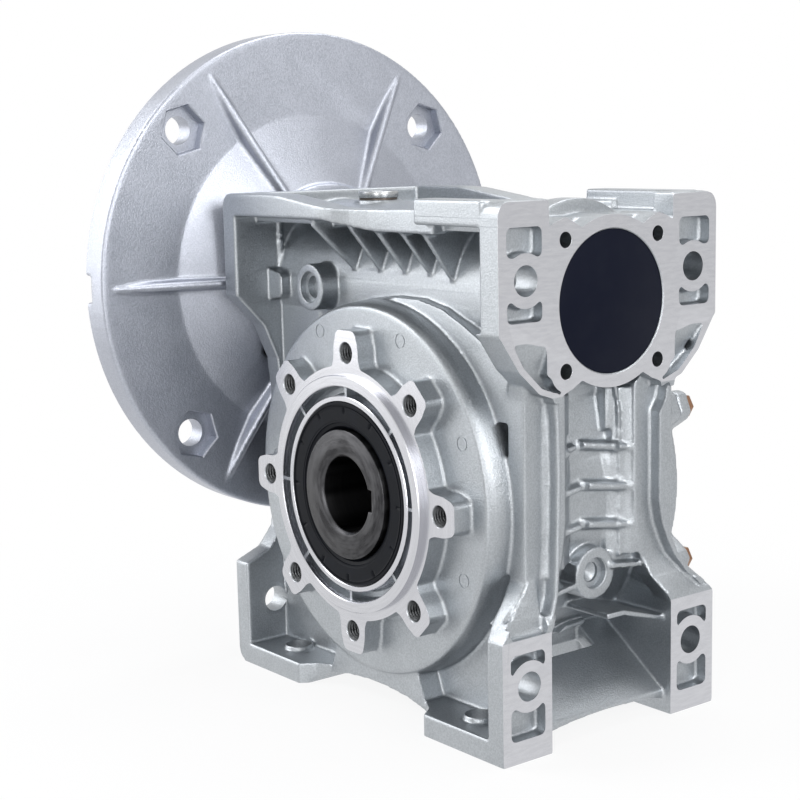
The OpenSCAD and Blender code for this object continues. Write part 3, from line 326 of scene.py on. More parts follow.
finishes = {
    "cast_case": castMetal("castCase", castLook, caseMask),
    "cast_cover": castMetal("castCover", castLook, lambda m: outputFaceMask(m, 1)),
    "cast_flange": castMetal(
        "castFlange", {**castLook, "pale": rgb(0.50, 0.52, 0.58), "deep": rgb(0.35, 0.37, 0.42)},
        lambda m: 1 - m.past(m.x, flangeEdge), False),
    "shaft_steel": turnedSteel("shaftSteel", rgb(0.10, 0.10, 0.105), rgb(0.018, 0.018, 0.02), 0.26),
    "ground_steel": plainMetal("groundSteel", rgb(0.5, 0.5, 0.52), 0.25),
    "bearing_steel": plainMetal("bearingSteel", rgb(0.62, 0.63, 0.65), 0.15, 0.1),
    "cage_brass": plainMetal("cageBrass", rgb(0.6, 0.46, 0.22), 0.35),
    "bronze": plainMetal("wheelBronze", rgb(0.62, 0.43, 0.2), 0.3),
    "black_rubber": darkRubber(
        "blackRubber", rgb(0.0025, 0.004, 0.0125), rgb(0.005, 0.006, 0.0085), rgb(0.008, 0.010, 0.018), 0.38),
    "yellow_zinc": plainMetal("yellowZinc", rgb(0.46, 0.255, 0.155), 0.24, 0.7),
    "black_steel": plainMetal("blackSteel", rgb(0.07, 0.07, 0.08), 0.4),
    "plug_steel": plainMetal("plugSteel", rgb(0.55, 0.56, 0.57), 0.2),
    "copper": plainMetal("copperWasher", rgb(0.20, 0.17, 0.15), 0.35),
}
for nodeName, cadNode in nodes.items():
    cadNode.data.materials.clear()
    cadNode.data.materials.append(finishes[slotOf[nodeName]])
print("finishes made:", len(finishes))


# Surfaces worked out on grids, in millimetres

def ringFaces(rows, columns, rowsClosed):
    # Quads between neighbouring rows of a grid whose columns close on themselves
    row, column = np.meshgrid(np.arange(rows if rowsClosed else rows - 1), np.arange(columns), indexing="ij")
    nextRow, nextColumn = (row + 1) % rows, (column + 1) % columns
    corners = (row * columns + column, row * columns + nextColumn, nextRow * columns + nextColumn,
               nextRow * columns + column)
    return np.stack(corners, -1).reshape(-1, 4).tolist()


def tubeFaces(rows, columns):
    # The same for an open grid, with one flat face over its first row and one over its last
    last = (rows - 1) * columns
    return ringFaces(rows, columns, False) + [list(range(columns)), list(range(last, last + columns))]


def placed(radius, along, angle, axis, centre):
    # Point at a radius and angle about an axis through centre: the axis letter takes "along"
    u, v = radius * np.cos(angle), radius * np.sin(angle)
    along = along + 0 * u
    order = {"x": (along, u, v), "y": (u, along, v), "z": (u, v, along)}[axis]
    return np.stack(order, -1) + np.asarray(centre, float)


def turned(profile, axis="y", centre=(0, 0, 0), steps=64, start=0.0):
    # A profile of (radius, along) turned about an axis; it closes on itself when it ends where it began,
    # and flat discs close it otherwise
    profile = np.asarray(profile, float)
    closed = np.allclose(profile[0], profile[-1])
    if closed:
        profile = profile[:-1]
    angle = start + np.linspace(0, 2 * np.pi, steps, endpoint=False)
    points = placed(profile[:, :1], profile[:, 1:], angle[None], axis, centre).reshape(-1, 3)
    return points, ringFaces(len(profile), steps, True) if closed else tubeFaces(len(profile), steps)


def drill(radius, low, high, axis, centre, chamfer=0.0, mouth=1, steps=48, start=0.0):
    # Cutter of a straight hole from low to high, widened by a chamfer where mouth (low or high) is cut
    wide = radius + chamfer
    profile = [(radius, low), (radius, high)]
    if chamfer and mouth > 0:
        profile = [(radius, low), (radius, high - 2 - chamfer), (wide, high - 2), (wide, high)]
    if chamfer and mouth < 0:
        profile = [(wide, low), (wide, low + 2), (radius, low + 2 + chamfer), (radius, high)]
    return turned(profile, axis, centre, steps, start)


def threaded(radius, depth, pitch, low, high, centre, steps=32):
    # Cutter of a tapped hole along Y: its radius is the core plus depth times a triangle wave of
    # (along / pitch - angle / turn), so that the grooves climb as one helix
    along = np.arange(low, high + 0.01, pitch / 4)
    angle = np.linspace(0, 2 * np.pi, steps, endpoint=False)
    phase = (along[:, None] / pitch - angle[None] / (2 * np.pi)) % 1
    groove = radius + depth * (1 - np.abs(2 * phase - 1))
    points = placed(groove, along[:, None], angle[None], "y", centre).reshape(-1, 3)
    return points, tubeFaces(len(along), steps)


def block(low, high):
    # Box between two opposite corners
    x, y, z = np.meshgrid(*zip(low, high), indexing="ij")
    points = np.stack((x, y, z), -1).reshape(-1, 3)
    return points, [[0, 1, 3, 2], [4, 6, 7, 5], [0, 4, 5, 1], [2, 3, 7, 6], [0, 2, 6, 4], [1, 5, 7, 3]]


def prism(profile, high):
    # A closed outline of (x, y, z) carried along Y as far as a level end
    outline = np.asarray(profile, float)
    points = np.concatenate((outline, outline * (1, 0, 1) + (0, high, 0)))
    return points, tubeFaces(2, len(outline))


def arcSolid(profile, first, last, steps=10):
    # A closed profile of (radius, y) carried round the output axis from the first to the last angle
    profile = np.asarray(profile, float)
    angle = np.linspace(first, last, steps)
    points = placed(profile[None, :, 0], profile[None, :, 1], angle[:, None], "y", (0, 0, 0)).reshape(-1, 3)
    return points, tubeFaces(steps, len(profile))


def bead(path, radius, rough, seed, sides=8, gap=0.8):
    # A rough weld-like line: circles along the path whose radius wanders by seeded noise. The circles
    # start square to the helper, a direction that no path follows.
    path = np.asarray(path, float)
    lengths = np.concatenate(([0], np.cumsum(np.linalg.norm(np.diff(path, axis=0), axis=1))))
    along = np.linspace(0, lengths[-1], max(int(lengths[-1] / gap), 2))
    middle = np.stack([np.interp(along, lengths, path[:, k]) for k in range(3)], -1)
    tangent = np.gradient(middle, axis=0)
    tangent /= np.linalg.norm(tangent, axis=1)[:, None]
    helper = np.array([0.31, 0.52, 0.80])
    side = np.cross(tangent, helper)
    side /= np.linalg.norm(side, axis=1)[:, None]
    other = np.cross(tangent, side)
    size = radius + rough * np.random.default_rng(seed).uniform(-1, 1, len(along))
    turn = np.linspace(0, 2 * np.pi, sides, endpoint=False)
    spokes = side[:, None] * np.cos(turn)[:, None] + other[:, None] * np.sin(turn)[:, None]
    points = (middle[:, None] + size[:, None, None] * spokes).reshape(-1, 3)
    return points, tubeFaces(len(along), sides)


def ridge(crest, foot, across, width):
    # A rib with a round crest: sections of seven points from the foot line over the crest line and back
    crest, foot = np.asarray(crest, float), np.asarray(foot, float)
    width = np.broadcast_to(width, len(crest))[:, None, None]
    rise = crest - foot
    up = (rise / np.linalg.norm(rise, axis=1)[:, None])[:, None]
    share = np.array([-1.15, -1, -0.7, 0, 0.7, 1, 1.15])[None, :, None]
    level = np.array([0, 1, 1, 1, 1, 1, 0])[None, :, None]
    drop = np.array([0, 1, 0.3, 0, 0.3, 1, 0])[None, :, None]
    side = np.broadcast_to(across, crest.shape)[:, None]
    points = foot[:, None] + rise[:, None] * level - up * drop * width + side * share * width
    return points.reshape(-1, 3), tubeFaces(len(crest), points.shape[1])


def joined(parts):
    # Several solids as one, whose corners are counted on
    points, faces, base = [], [], 0
    for partPoints, partFaces in parts:
        points.append(partPoints)
        faces += [[corner + base for corner in face] for face in partFaces]
        base += len(partPoints)
    return np.concatenate(points), faces


def meshOf(name, solid):
    points, faces = solid
    mesh = bpy.data.meshes.new(name)
    mesh.from_pydata((points * mm).tolist(), [], faces)
    work = bmesh.new()
    work.from_mesh(mesh)
    bmesh.ops.recalc_face_normals(work, faces=work.faces)
    work.to_mesh(mesh)
    work.free()
    return mesh


def objectOf(name, mesh):
    obj = bpy.data.objects.new(name, mesh)
    bpy.context.scene.collection.objects.link(obj)
    return obj


def applied(obj):
    graph = bpy.context.evaluated_depsgraph_get()
    obj.data = bpy.data.meshes.new_from_object(obj.evaluated_get(graph))
    obj.modifiers.clear()
    return obj.data


def cut(obj, groups):
    # Takes groups of cutters out of a piece; cutters of one group don't touch each other
    for group in groups:
        cutter = objectOf("cutter", meshOf("cutter", joined(group)))
        difference = obj.modifiers.new("cut", "BOOLEAN")
        difference.operation = "DIFFERENCE"
        difference.solver = "MANIFOLD"
        difference.object = cutter
        before = len(obj.data.polygons)
        applied(obj)
        print("  cut", len(group), "tools:", before, "to", len(obj.data.polygons), "faces")
        bpy.data.objects.remove(cutter)


def finished(obj, nodeName, body, sharp=35):
    obj.data.shade_smooth()
    obj.data.set_sharp_from_angle(angle=math.radians(sharp))
    obj.data.materials.clear()
    obj.data.materials.append(finishes[slotOf[nodeName]])
    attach(obj, body)
    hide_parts(nodeName)
    return obj


# Castings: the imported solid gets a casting's soft edges, and its seats and faces are cut afterwards

def facing(profile, side):
    # A profile of (radius, depth) turned to the front (side -1) or to the rear (1)
    return [(radius, side * depth) for radius, depth in profile]


def turnedCuts(look, side):
    # The star face with its raised rings, the bore of the seal and the seat of the bearing
    inner = look["sealRadius"] + look["wall"]
    outer = inner + look["groove"]
    c, seal, lip, past = look["ringChamfer"], look["sealRadius"], look["sealChamfer"], look["past"]
    top, innerTop, ring, hole = look["ringTop"], look["innerTop"], look["ringRadius"], look["openRadius"]
    face = [
        (hole, innerTop), (inner - c, innerTop), (inner, innerTop - c), (inner, look["grooveFace"]),
        (outer, look["grooveFace"]), (outer, top - c), (outer + c, top), (ring - c, top), (ring, top - c),
        (ring, look["face"]), (look["rimRadius"], look["face"]), (look["rimRadius"], past), (hole, past),
        (hole, innerTop)]
    bore = [
        (look["shaftSpace"], look["chamber"][1]), (look["shaftSpace"], look["sealShoulder"]),
        (seal, look["sealShoulder"]), (seal, innerTop - lip), (seal + lip, innerTop), (seal + lip, past)]
    seat = [(look["seatRadius"], look["chamber"][0]), (look["seatRadius"], look["seatEnd"])]
    return [[turned(facing(profile, side), steps=160)] for profile in (face, bore, seat)]


def grooveCuts(look, side):
    # The ring groove in eight arcs between radial ribs, and the cuts that bring the ribs to their height
    inner = look["sealRadius"] + look["wall"]
    outer = inner + look["groove"]
    half = look["ribWidth"] / 2 / (inner + look["groove"] / 2)
    clear, low, ribTop = look["clear"], look["grooveEnd"], look["ribTop"]
    rounded = facing([(inner, clear), (outer, clear), (outer, low + 1), (outer - 1, low), (inner + 1, low),
                      (inner, low + 1)], side)
    over = facing([(inner, clear), (outer, clear), (outer, ribTop), (inner, ribTop)], side)
    arcs = [arcSolid(rounded, a + half, a + math.pi / 4 - half) for a in starAngles]
    bars = [arcSolid(over, a - 1.5 * half, a + 1.5 * half, 3) for a in starAngles]
    return [arcs, bars]


def tappedCuts(look, side):
    # The eight tapped holes and the cones at their mouths
    narrow, wide, deep = look["mouth"]
    low, high = sorted((side * (look["face"] - look["holeDepth"]), side * (look["face"] + 1)))
    core, face = look["core"], look["face"]
    holes = [threaded(core, look["threadDepth"], look["pitch"], low, high, place) for place in starPlaces]
    cone = facing([(core + narrow, face - deep), (core + wide, face + 1)], side)
    cone.sort(key=lambda point: point[1])
    return [holes, [turned(cone, "y", place, 48) for place in starPlaces]]


def outputCuts(look, side):  # side -1 is the front, 1 the rear
    return turnedCuts(look, side) + grooveCuts(look, side) + tappedCuts(look, side)


def outputPlugs(look, side):
    # Solid stock that the cuts of an output face are made in
    low, high = sorted((side * look["chamber"][1], side * look["clear"]))
    stock = [turned([(look["stockRadius"], low), (look["stockRadius"], high)], steps=96)]
    wider, deeper, higher = look["tapStock"]
    low, high = sorted((side * (look["face"] - look["holeDepth"] - deeper), side * (look["face"] + higher)))
    radius = look["core"] + wider
    return stock + [turned([(radius, low), (radius, high)], "y", place, 24) for place in starPlaces]


drilled = {  # stock is the radius and span of what fills the hole until it is drilled
    "pad": {"axis": "x", "radius": 6.5, "span": (82, 106), "chamfer": 0.5, "stock": (7.1, 90, 104.9),
            "places": [(0, s * 50, z) for s in (-1, 1) for z in (102, -70)]},
    "ear": {"axis": "x", "radius": 3.4, "span": (85, 106), "chamfer": 1.1, "stock": (4.0, 84, 104.9),
            "places": [(0, s * 27.577, axisZ + t * 27.577) for s in (-1, 1) for t in (-1, 1)]},
    "foot": {"axis": "z", "radius": 6.5, "span": (-110, -88), "chamfer": 0, "stock": (7.1, -104.9, -90.5),
             "places": [(s * 70, t * 50, 0) for s in (-1, 1) for t in (-1, 1)]},
    "base": {"axis": "x", "radius": 6.5, "span": (-106, -88), "chamfer": 0, "stock": (7.1, -103.5, -92),
             "places": [(0, s * 48.5, -72) for s in (-1, 1)]},
}
plugBosses = {  # recess is the turned profile of the plug and its seat
    "bay": {"axis": "x", "centre": (0, 0, -31.8), "stock": (7.6, 84.5, 91.8),
            "recess": [(0.3, 84.6), (3.6, 86.6), (4.6, 87.0), (4.6, 88.4), (6.9, 88.6), (6.9, 91.3),
                       (7.3, 91.7), (7.3, 95)]},
    "wall": {"axis": "y", "centre": (-52, 0, 90.5), "stock": (8.2, -49.8, -43),
             "recess": [(3.2, -43.6), (5.4, -43.6), (5.4, -46.5), (7.4, -46.7), (7.4, -49.6), (7.8, -50),
                        (7.8, -54)]},
}
capSeat = {"stock": (32, 93, 104.9), "profile": [(31, 70), (31, 102.5), (31.5, 103), (31.5, 106)]}
coverScrews = {"pitchRadius": 94, "radius": 3.3, "inCase": (37, 54), "inCover": (40, 70)}
ejectorLook = {"places": [(-33.5, 71.5), (27.6, 71.8), (69.2, 31), (69.2, -29.3), (-72.7, 6.8)],
               "ring": [(2.9, -57.3), (3.4, -57.3), (3.4, -56.75), (2.9, -56.75), (2.9, -57.3)]}
beamSteps = {"heights": (127.6, 124.3), "low": (48.5, -66), "high": (103.4, -64.7), "width": 0.35}
barLook = {"drumRadius": 87.5, "heights": (26, 8.3, -9.2), "slope": 3.8 / 25, "middle": -4, "rootDepth": 6,
           "taper": (0.8, 1, 1), "lean": (0, 0.1, 1),
           "right": {"ends": (-3.2, 25), "height": 6.0, "width": 1.9},
           "left": {"ends": (-23, -7.6), "height": 5.0, "width": 1.5}}
legLook = {
    "crest": [(-32.2, 51), (-31.3, 40), (-30.9, 17), (-31.5, -6), (-31.9, -18), (-32.9, -34), (-34.8, -41),
              (-37.6, -47.5), (-38.6, -52)],
    "crestAt": 102.5, "rootAt": 90, "lean": (0, 1, 0.12), "width": 1.15,
    "ramp": [(94, -40.2, -24), (95.5, -42.4, -26), (97, -51.2, -34), (98.9, -59.2, -41.5),
             (99.4, -60.4, -47.4), (102.5, -60.8, -49.2), (102.5, -60.8, -52), (94, -60.8, -52)],
    "rampEnd": -39,
}
plainForms = {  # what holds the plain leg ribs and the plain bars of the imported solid
    "drumBars": [(88.9, -13.8), (101, -13.8), (101, 13.8), (88.9, 13.8)], "barAngles": (-0.19, 0.345),
    "frontRib": ((95.4, -60, -42), (105.6, -26, 49.6)),
    "rearRib": ((101.6, 26, -41), (105.6, 60, 49.6)),
    "frontFoot": ((98.8, -60, -48.6), (105.6, -39.4, -41.9)),
    "barEnds": ((93.4, 12.9, -16), (100, 19.8, 29)),
}
baySeam = {"path": [(90.6, 16.3, -27), (90.6, 16.9, 5), (90.6, 15.6, 40), (90.3, 13.5, 53)], "radius": 0.85,
           "rough": 0.3, "seed": 11}
bayShelf = ((80, 9, -31.5), (89, 33, -25))
flashLines = [
    {"path": [(95.6, -33, 51), (95.6, -33.4, 5), (95.6, -33.8, -19), (96.2, -34.4, -27)], "radius": 0.95,
     "rough": 0.3, "seed": 3},
    {"path": [(95.2, 33.4, 20), (95.2, 32.6, 0), (95.2, 35, -14)], "radius": 0.6, "rough": 0.2, "seed": 4},
    {"path": [(-92.6, -38.5, 122), (-92.6, -38.3, 97)], "radius": 1.5, "rough": 0.5, "seed": 5},
    {"path": [(-92.6, -36.5, 81), (-92.6, -33, 73), (-92.6, -26, 60)], "radius": 1.2, "rough": 0.15,
     "seed": 6},
    {"path": [(-92.6, -38.3, -70), (-92.6, -38.4, -92)], "radius": 1.5, "rough": 0.5, "seed": 7},
]


def housingTrim():
    # Takes off the plain leg ribs and the plain bars of the bay, which are made again with round crests
    drumBars = arcSolid(plainForms["drumBars"], *plainForms["barAngles"])
    frontRib, rearRib, frontFoot, barEnds = (
        block(*plainForms[form]) for form in ("frontRib", "rearRib", "frontFoot", "barEnds"))
    return [[drumBars, frontRib, rearRib], [frontFoot, barEnds]]


def barRidge(look, bar, z):
    # Follows the drum: under it lies how far the drum reaches along X at that height, which is the root
    # of radius squared less height squared, and the crest is that plus the bar's height
    first, last = bar["ends"]
    y = np.array([first, (first + last) / 2, last])
    slant = z - look["slope"] * np.abs(y - look["middle"])
    shell = np.sqrt(look["drumRadius"] ** 2 - slant ** 2)
    over = np.stack((shell + bar["height"] * np.array(look["taper"]), y, slant), -1)
    under = np.stack((shell - look["rootDepth"], y, slant), -1)
    return ridge(over, under, look["lean"], bar["width"])


def housingRibs():
    line = np.array(legLook["crest"])
    top = np.insert(line, 0, legLook["crestAt"], axis=1)
    root = np.insert(line, 0, legLook["rootAt"], axis=1)
    stock = [ridge(top, root, legLook["lean"], legLook["width"])]
    stock += [barRidge(barLook, barLook[side], z) for z in barLook["heights"] for side in ("right", "left")]
    return stock + [bead(**baySeam), block(*bayShelf), prism(legLook["ramp"], legLook["rampEnd"])]


def housingPlugs():
    stock = outputPlugs(starLook, -1) + housingRibs()
    for row in drilled.values():
        stock += [drill(*row["stock"], row["axis"], place) for place in row["places"]]
    stock += [drill(*row["stock"], row["axis"], row["centre"]) for row in plugBosses.values()]
    stock.append(drill(*capSeat["stock"], "x", (0, 0, axisZ), steps=96))
    return stock + [bead(**line) for line in flashLines]


def coverHoles(span):
    # The eight screw holes of the cover, half a step away from the star's
    places = onCircle(coverScrews["pitchRadius"], (np.arange(8) + 0.5) * math.pi / 4)
    return [drill(coverScrews["radius"], *span, "y", place, steps=24) for place in places]


def housingCuts():
    endFace = block((103, -80, -120), (112, 80, 150))
    soles = block((-120, -80, -115), (110, 80, -103))
    holes = []
    for row in drilled.values():
        holes += [drill(row["radius"], *row["span"], row["axis"], place, row["chamfer"])
                  for place in row["places"]]
    holes += coverHoles(coverScrews["inCase"])
    seat = turned(capSeat["profile"], "x", (0, 0, axisZ), 128)
    recesses = [turned(row["recess"], row["axis"], row["centre"], 48) for row in plugBosses.values()]
    marks = [turned(ejectorLook["ring"], "y", (x, 0, z), 32) for x, z in ejectorLook["places"]]
    low, high = beamSteps["low"], beamSteps["high"]
    steps = [block((*low, z), (*high, z + beamSteps["width"])) for z in beamSteps["heights"]]
    return [[endFace], [soles]] + outputCuts(starLook, -1) + [holes, [seat], recesses, marks, steps]


def coverCuts():
    return outputCuts(starLook, 1) + [coverHoles(coverScrews["inCover"])]


boltLook = {"pitchRadius": 107.5, "radius": 7, "span": (-137, -122), "chamfer": 0.5, "hexagon": 22,
            "stock": (-134.5, -118.2), "hexStock": 0.8, "hexChamfer": 0.7,
            "hexDepths": (-124, -118.7, -118, -115)}
boltAngles = (np.arange(4) + 0.5) * math.pi / 2
boltPlaces = [(0, boltLook["pitchRadius"] * math.cos(a), axisZ + boltLook["pitchRadius"] * math.sin(a))
              for a in boltAngles]
hexRadius = boltLook["hexagon"] / math.sqrt(3)
coneLook = {"foot": (82.5, -118), "top": (47.6, -106), "ribOut": (119, -117.6), "ribIn": (44, -102.6),
            "ribWidth": 2.5, "ribTaper": (0.25, 3), "ribRoot": 1.5, "skin": 0.03, "clearAt": -98,
            "clearRadius": 131}
rimFace = [(89.6, -134), (90, -133.6), (90, -129), (76, -129), (76, -140), (130, -140), (130, -134),
           (89.6, -134)]


def flangeTrim():
    # Leaves a shallow cone with a hub; the ribs are made again over it
    (footR, footX), (topR, topX) = coneLook["foot"], coneLook["top"]
    footX += coneLook["skin"]
    clearX, clearR = coneLook["clearAt"], coneLook["clearRadius"]
    over = [(topR, clearX), (topR, topX), (footR, footX), (clearR, footX), (clearR, clearX), (topR, clearX)]
    return [[turned(over, "x", (0, 0, axisZ), 160)]]


def flangePlugs():
    # Stock round the hexagon pockets, and six ribs that run straight from the rim to the hub and widen
    # from a thin outer end
    look = coneLook
    stock = [drill(hexRadius + boltLook["hexStock"], *boltLook["stock"], "x", place) for place in boltPlaces]
    share = np.linspace(0, 1, 12)[:, None]
    line = np.array(look["ribOut"]) * (1 - share) + np.array(look["ribIn"]) * share
    thin, growth = look["ribTaper"]
    width = look["ribWidth"] * np.minimum(1, thin + growth * share[:, 0])
    (footR, footX), (topR, topX) = look["foot"], look["top"]
    for k in range(6):
        angle = k * math.pi / 3 + math.pi
        y, z = math.cos(angle), math.sin(angle)
        crest = np.stack((line[:, 1], y * line[:, 0], axisZ + z * line[:, 0]), -1)
        root = crest.copy()
        root[:, 0] = np.interp(line[:, 0], (topR, footR), (topX, footX)) - look["ribRoot"]
        stock.append(ridge(crest, root, (0, -z, y), width))
    return stock


def flangeCuts():
    face = turned(rimFace, "x", (0, 0, axisZ), 160)
    holes = [drill(boltLook["radius"], *boltLook["span"], "x", place, boltLook["chamfer"], -1)
             for place in boltPlaces]
    wide = hexRadius + boltLook["hexChamfer"]
    hexagon = list(zip((hexRadius, hexRadius, wide, wide), boltLook["hexDepths"]))
    pockets = [turned(hexagon, "x", place, 6, lean) for place, lean in zip(boltPlaces, boltAngles)]
    return [[face], holes, pockets]


castings = {
    "housing": {"voxel": 0.7, "soften": 2, "polish": 6, "triangles": 140000, "trim": housingTrim,
                "plugs": housingPlugs, "cuts": housingCuts,
                "lift": (("x", 1, 103), ("y", -1, -67), ("z", -1, -103))},
    "motor_flange": {"voxel": 0.9, "soften": 2, "polish": 5, "triangles": 60000, "trim": flangeTrim,
                     "plugs": flangePlugs, "cuts": flangeCuts, "lift": (("x", -1, -134),)},
    "side_cover": {"voxel": 0.8, "soften": 2, "polish": 5, "triangles": 80000, "trim": list,
                   "plugs": lambda: outputPlugs(starLook, 1), "cuts": coverCuts, "lift": (("y", 1, 67),)},
}
liftBy = 2.0
faceSlack = 0.05
softenStep = 0.6
polishSteps = [0.5, -0.52]


def liftedBlank(nodeName, look):
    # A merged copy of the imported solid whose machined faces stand 2 mm proud
    work = bmesh.new()
    work.from_mesh(nodes[nodeName].data)
    bmesh.ops.remove_doubles(work, verts=work.verts, dist=weldWithin)
    for letter, side, place in look["lift"]:
        column = "xyz".index(letter)
        for vertex in work.verts:
            if vertex.co[column] * side > (place * side - faceSlack) * mm:
                vertex.co[column] += side * liftBy * mm
    source = bpy.data.meshes.new(nodeName + "Blank")
    work.to_mesh(source)
    work.free()
    return objectOf(nodeName + "_casting", source)


def soften(mesh, look):
    # Every point moves towards the mean of its neighbours, and later back and forth, which rounds the
    # edges without thinning the ribs
    count = len(mesh.vertices)
    points = np.empty(count * 3)
    mesh.vertices.foreach_get("co", points)
    points = points.reshape(-1, 3)
    edges = np.empty(len(mesh.edges) * 2, int)
    mesh.edges.foreach_get("vertices", edges)
    first, second = edges.reshape(-1, 2).T
    degree = np.maximum(np.bincount(first, minlength=count) + np.bincount(second, minlength=count), 1)
    for step in [softenStep] * look["soften"] + polishSteps * look["polish"]:
        total = [np.bincount(first, points[second, k], count) + np.bincount(second, points[first, k], count)
                 for k in range(3)]
        points = points + step * (np.stack(total, -1) / degree[:, None] - points)
    mesh.vertices.foreach_set("co", points.ravel())
    mesh.update()


def castPiece(nodeName, look):
    # The blank's holes are plugged, and voxels fill all of it as one solid, which is softened. The
    # machined cuts come last, so they stay crisp.
    obj = liftedBlank(nodeName, look)
    cut(obj, look["trim"]())
    stock = objectOf("stock", meshOf("stock", joined(look["plugs"]())))
    with bpy.context.temp_override(active_object=obj, selected_editable_objects=[obj, stock]):
        bpy.ops.object.join()
    remesh = obj.modifiers.new("remesh", "REMESH")
    remesh.mode = "VOXEL"
    remesh.voxel_size = look["voxel"] * mm
    mesh = applied(obj)
    soften(mesh, look)
    triangles = 2 * len(mesh.polygons)
    if triangles > look["triangles"]:
        thin = obj.modifiers.new("thin", "DECIMATE")
        thin.ratio = look["triangles"] / triangles
        applied(obj)
    print("casting", nodeName, triangles, "triangles, thinned to", len(obj.data.polygons))
    cut(obj, look["cuts"]())
    return finished(obj, nodeName, "case")


for nodeName, look in castings.items():
    castPiece(nodeName, look)


# Turned and pressed pieces get the small broken edges of real ones

edgeLook = {
    "output_shaft": {"body": "output", "width": 0.9, "segments": 2},
    "cover_screws": {"body": "case", "width": 0.5, "segments": 2},
    "end_cap": {"body": "case", "width": 0.5, "segments": 2},
    "filler_plug": {"body": "case", "width": 0.5, "segments": 2},
    "filler_washer": {"body": "case", "width": 0.2, "segments": 1},
}
flatBelow = 0.5  # degrees between two faces that are one
brokenAbove = 40  # degrees at an edge that is broken


def brokenEdges(nodeName, look):
    obj = objectOf(nodeName + "_turned", nodes[nodeName].data.copy())
    weld = obj.modifiers.new("weld", "WELD")
    weld.merge_threshold = weldWithin
    flat = obj.modifiers.new("flat", "DECIMATE")
    flat.decimate_type = "DISSOLVE"
    flat.angle_limit = math.radians(flatBelow)
    bevel = obj.modifiers.new("bevel", "BEVEL")
    bevel.limit_method = "ANGLE"
    bevel.angle_limit = math.radians(brokenAbove)
    bevel.width = look["width"] * mm
    bevel.segments = look["segments"]
    bevel.use_clamp_overlap = True
    applied(obj)
    return finished(obj, nodeName, look["body"], brokenAbove)


for nodeName, look in edgeLook.items():
    brokenEdges(nodeName, look)
print("broken edges:", len(edgeLook))


# Lip seals of the output shaft

sealLook = {  # the profile's points are (radius, depth); ticks are cut into the band between two radii
    "profile": [
        (42.48, 60.0), (42.48, 68.6), (42.1, 69.0), (41.3, 69.0), (41.1, 68.6), (40.7, 68.6), (40.5, 69.0),
        (40.2, 68.9), (39.4, 68.9), (37.8, 68.9), (37.2, 68.9), (34.2, 68.9), (33.9, 68.7), (33.2, 68.7),
        (32.9, 68.2), (31.4, 67.8), (30.8, 66.9), (30.06, 66.0), (30.46, 64.5), (33.5, 66.0), (40.0, 60.8),
        (42.48, 59.3)],
    "band": (37.6, 40.3), "bandFloor": 68.8, "tickCount": 12, "tickDepth": 0.7, "tickForm": (2.2, 60),
    "steps": 360, "sharp": 30,
}


def sealPiece(nodeName, side, look):
    # Depth over (radius, angle): the profile of a raised rim, a flat band, a step and a lip that falls
    # towards the shaft, with a back that slopes out to the rim, less the ticks in the band. A tick is a
    # flat-topped wave of the share of a turn that lies between it and the point. The grid closes on itself.
    radius, depth = np.array(look["profile"]).T[:, :, None]
    angle = np.linspace(0, 2 * np.pi, look["steps"], endpoint=False)
    low, high = look["band"]
    onBand = (radius > low) & (radius < high) & (depth > look["bandFloor"])
    turnShare = (angle / (2 * np.pi) * look["tickCount"] + 0.5) % 1 - 0.5
    top, fall = look["tickForm"]
    tick = np.clip(top - np.abs(turnShare) * fall, 0, 1)[None]
    depth = depth - look["tickDepth"] * onBand * tick
    points = placed(radius, side * depth, angle[None], "y", (0, 0, 0)).reshape(-1, 3)
    faces = ringFaces(len(look["profile"]), look["steps"], True)
    ring = objectOf(nodeName + "_ring", meshOf(nodeName, (points, faces)))
    return finished(ring, nodeName, "case", look["sharp"])


sealPiece("front_seal", -1, sealLook)
sealPiece("rear_seal", 1, sealLook)
print("seals made")


# Camera, at the photograph's place

cameraLook = {
    "azimuth": 51.135,
    "elevation": 9.435,
    "roll": -1.063,
    "distance": 732.9,
    "target": (46.3, -54.7, 41.2),
    "lens": 75.4,
    "shift": (-0.040, 0.0171),
}


def makeCamera(look):
    azimuth = math.radians(look["azimuth"])
    elevation = math.radians(look["elevation"])
    roll = math.radians(look["roll"])
    level = math.cos(elevation)
    back = Vector((math.sin(azimuth) * level, -math.cos(azimuth) * level, math.sin(elevation)))
    right = (-back).cross(Vector((0, 0, 1))).normalized()
    up = right.cross(-back)
    turnedRight = right * math.cos(roll) + up * math.sin(roll)
    turnedUp = up * math.cos(roll) - right * math.sin(roll)
    place = Matrix((turnedRight, turnedUp, back)).transposed().to_4x4()
    place.translation = (Vector(look["target"]) + back * look["distance"]) * mm
    camera = bpy.data.cameras.new("camera")
    camera.sensor_width = 36
    camera.lens = look["lens"]
    camera.shift_x, camera.shift_y = look["shift"]
    camera.clip_start = 0.01
    holder = objectOf("camera", camera)
    holder.matrix_world = place
    bpy.context.scene.camera = holder


makeCamera(cameraLook)


# Floor and light

stageLook = {
    "floorRadius": 1.6,
    "floorSides": 64,
    "floorRough": 0.8,
    "shadowWeight": 0.12,
    "fadeFrom": 0.16,
    "fadeTo": 0.42,
    "floorColour": rgb(0.86, 0.86, 0.87),
    "worldColour": rgb(0.93, 0.94, 0.96),
    "worldStrength": 0.30,
    "glossStrength": 0.86,
}


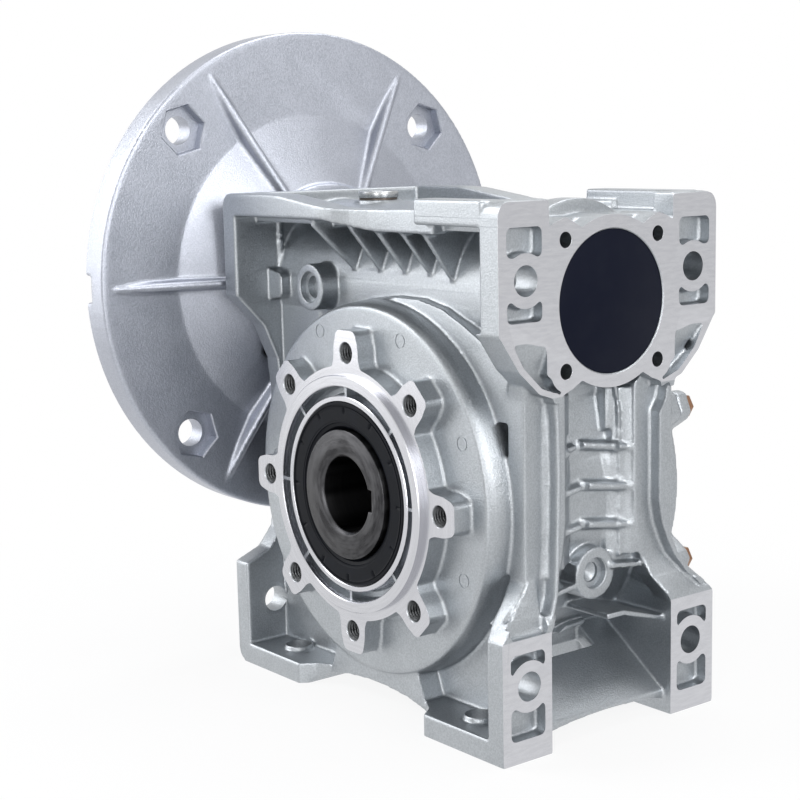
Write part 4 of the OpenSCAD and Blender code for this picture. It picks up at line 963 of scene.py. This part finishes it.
def makeFloor(look):
    sides = look["floorSides"]
    angles = np.linspace(0, 2 * np.pi, sides, endpoint=False)
    ring = placed(look["floorRadius"], cadLow.z, angles, "z", (0, 0, 0))
    mesh = bpy.data.meshes.new("floor")
    mesh.from_pydata(ring.tolist(), [], [list(range(sides))])
    m = Finish("floorPaint")
    m.set(Base_Color=look["floorColour"], Roughness=look["floorRough"])
    near = 1 - m.rise(m.span(m.x, m.y), look["fadeFrom"], look["fadeTo"])
    seen, glossy, through = (m.node("ShaderNodeLightPath", {}, (), ray) for ray in (
        "Is Camera Ray", "Is Glossy Ray", "Is Transmission Ray"))
    bright = seen * (1 - look["shadowWeight"] * near) + glossy + through
    white = m.node("ShaderNodeEmission", {}, {"Color": rgb(1, 1, 1), "Strength": 1.0})
    paint = Value(m, m.shader.outputs[0])
    mixed = m.node("ShaderNodeMixShader", {}, (bright.math("MINIMUM", 1.0), paint, white))
    m.link(mixed, m.tree.nodes["Material Output"].inputs["Surface"])
    mesh.materials.append(m.material)
    objectOf("floor", mesh)


def makeWorld(look):
    world = bpy.data.worlds.new("studio")
    world.use_nodes = True
    tree = world.node_tree
    background = tree.nodes["Background"]
    background.inputs["Color"].default_value = look["worldColour"]
    background.inputs["Strength"].default_value = look["worldStrength"]
    path = tree.nodes.new("ShaderNodeLightPath")
    shown = background.outputs[0]
    rays = (("Is Glossy Ray", look["glossStrength"]), ("Is Transmission Ray", 1.0), ("Is Camera Ray", 1.0))
    for ray, strength in rays:
        white = tree.nodes.new("ShaderNodeBackground")
        white.inputs["Color"].default_value = rgb(1, 1, 1)
        white.inputs["Strength"].default_value = strength
        mix = tree.nodes.new("ShaderNodeMixShader")
        tree.links.new(path.outputs[ray], mix.inputs["Fac"])
        tree.links.new(shown, mix.inputs[1])
        tree.links.new(white.outputs[0], mix.inputs[2])
        shown = mix.outputs[0]
    tree.links.new(shown, tree.nodes["World Output"].inputs["Surface"])
    bpy.context.scene.world = world


lamps = {
    "coneBox": {"place": (1.22, -0.01, 0.54), "aim": (-0.11, -0.06, 0.14), "size": (0.62, 0.62), "power": 7},
    "sideBox": {"place": (-1.25, -1.05, 0.30), "aim": (0, 0, 0.03), "size": (1.3, 0.9), "power": 7},
    "leftTop": {"place": (-0.80, -0.75, 0.95), "aim": (0, 0, 0.05), "size": (0.7, 0.7), "power": 7.5},
    "topBox": {"place": (0.0, 0.35, 1.25), "aim": (0, 0, 0.05), "size": (1.1, 0.9), "power": 10},
    "edgeBox": {"place": (0.84, -1.02, 0.28), "aim": (0, 0, 0.03), "size": (0.35, 0.9), "power": 5},
}


def makeLamp(name, look):
    lamp = bpy.data.lights.new(name, "AREA")
    lamp.shape = "RECTANGLE"
    lamp.size, lamp.size_y = look["size"]
    lamp.energy = look["power"]
    holder = objectOf(name, lamp)
    holder.location = look["place"]
    aim = Vector(look["place"]) - Vector(look["aim"])
    holder.rotation_euler = aim.to_track_quat("Z", "Y").to_euler()


makeFloor(stageLook)
makeWorld(stageLook)
for name, look in lamps.items():
    makeLamp(name, look)
bpy.context.scene.view_settings.view_transform = "Standard"
print("stage, camera and lamps made")
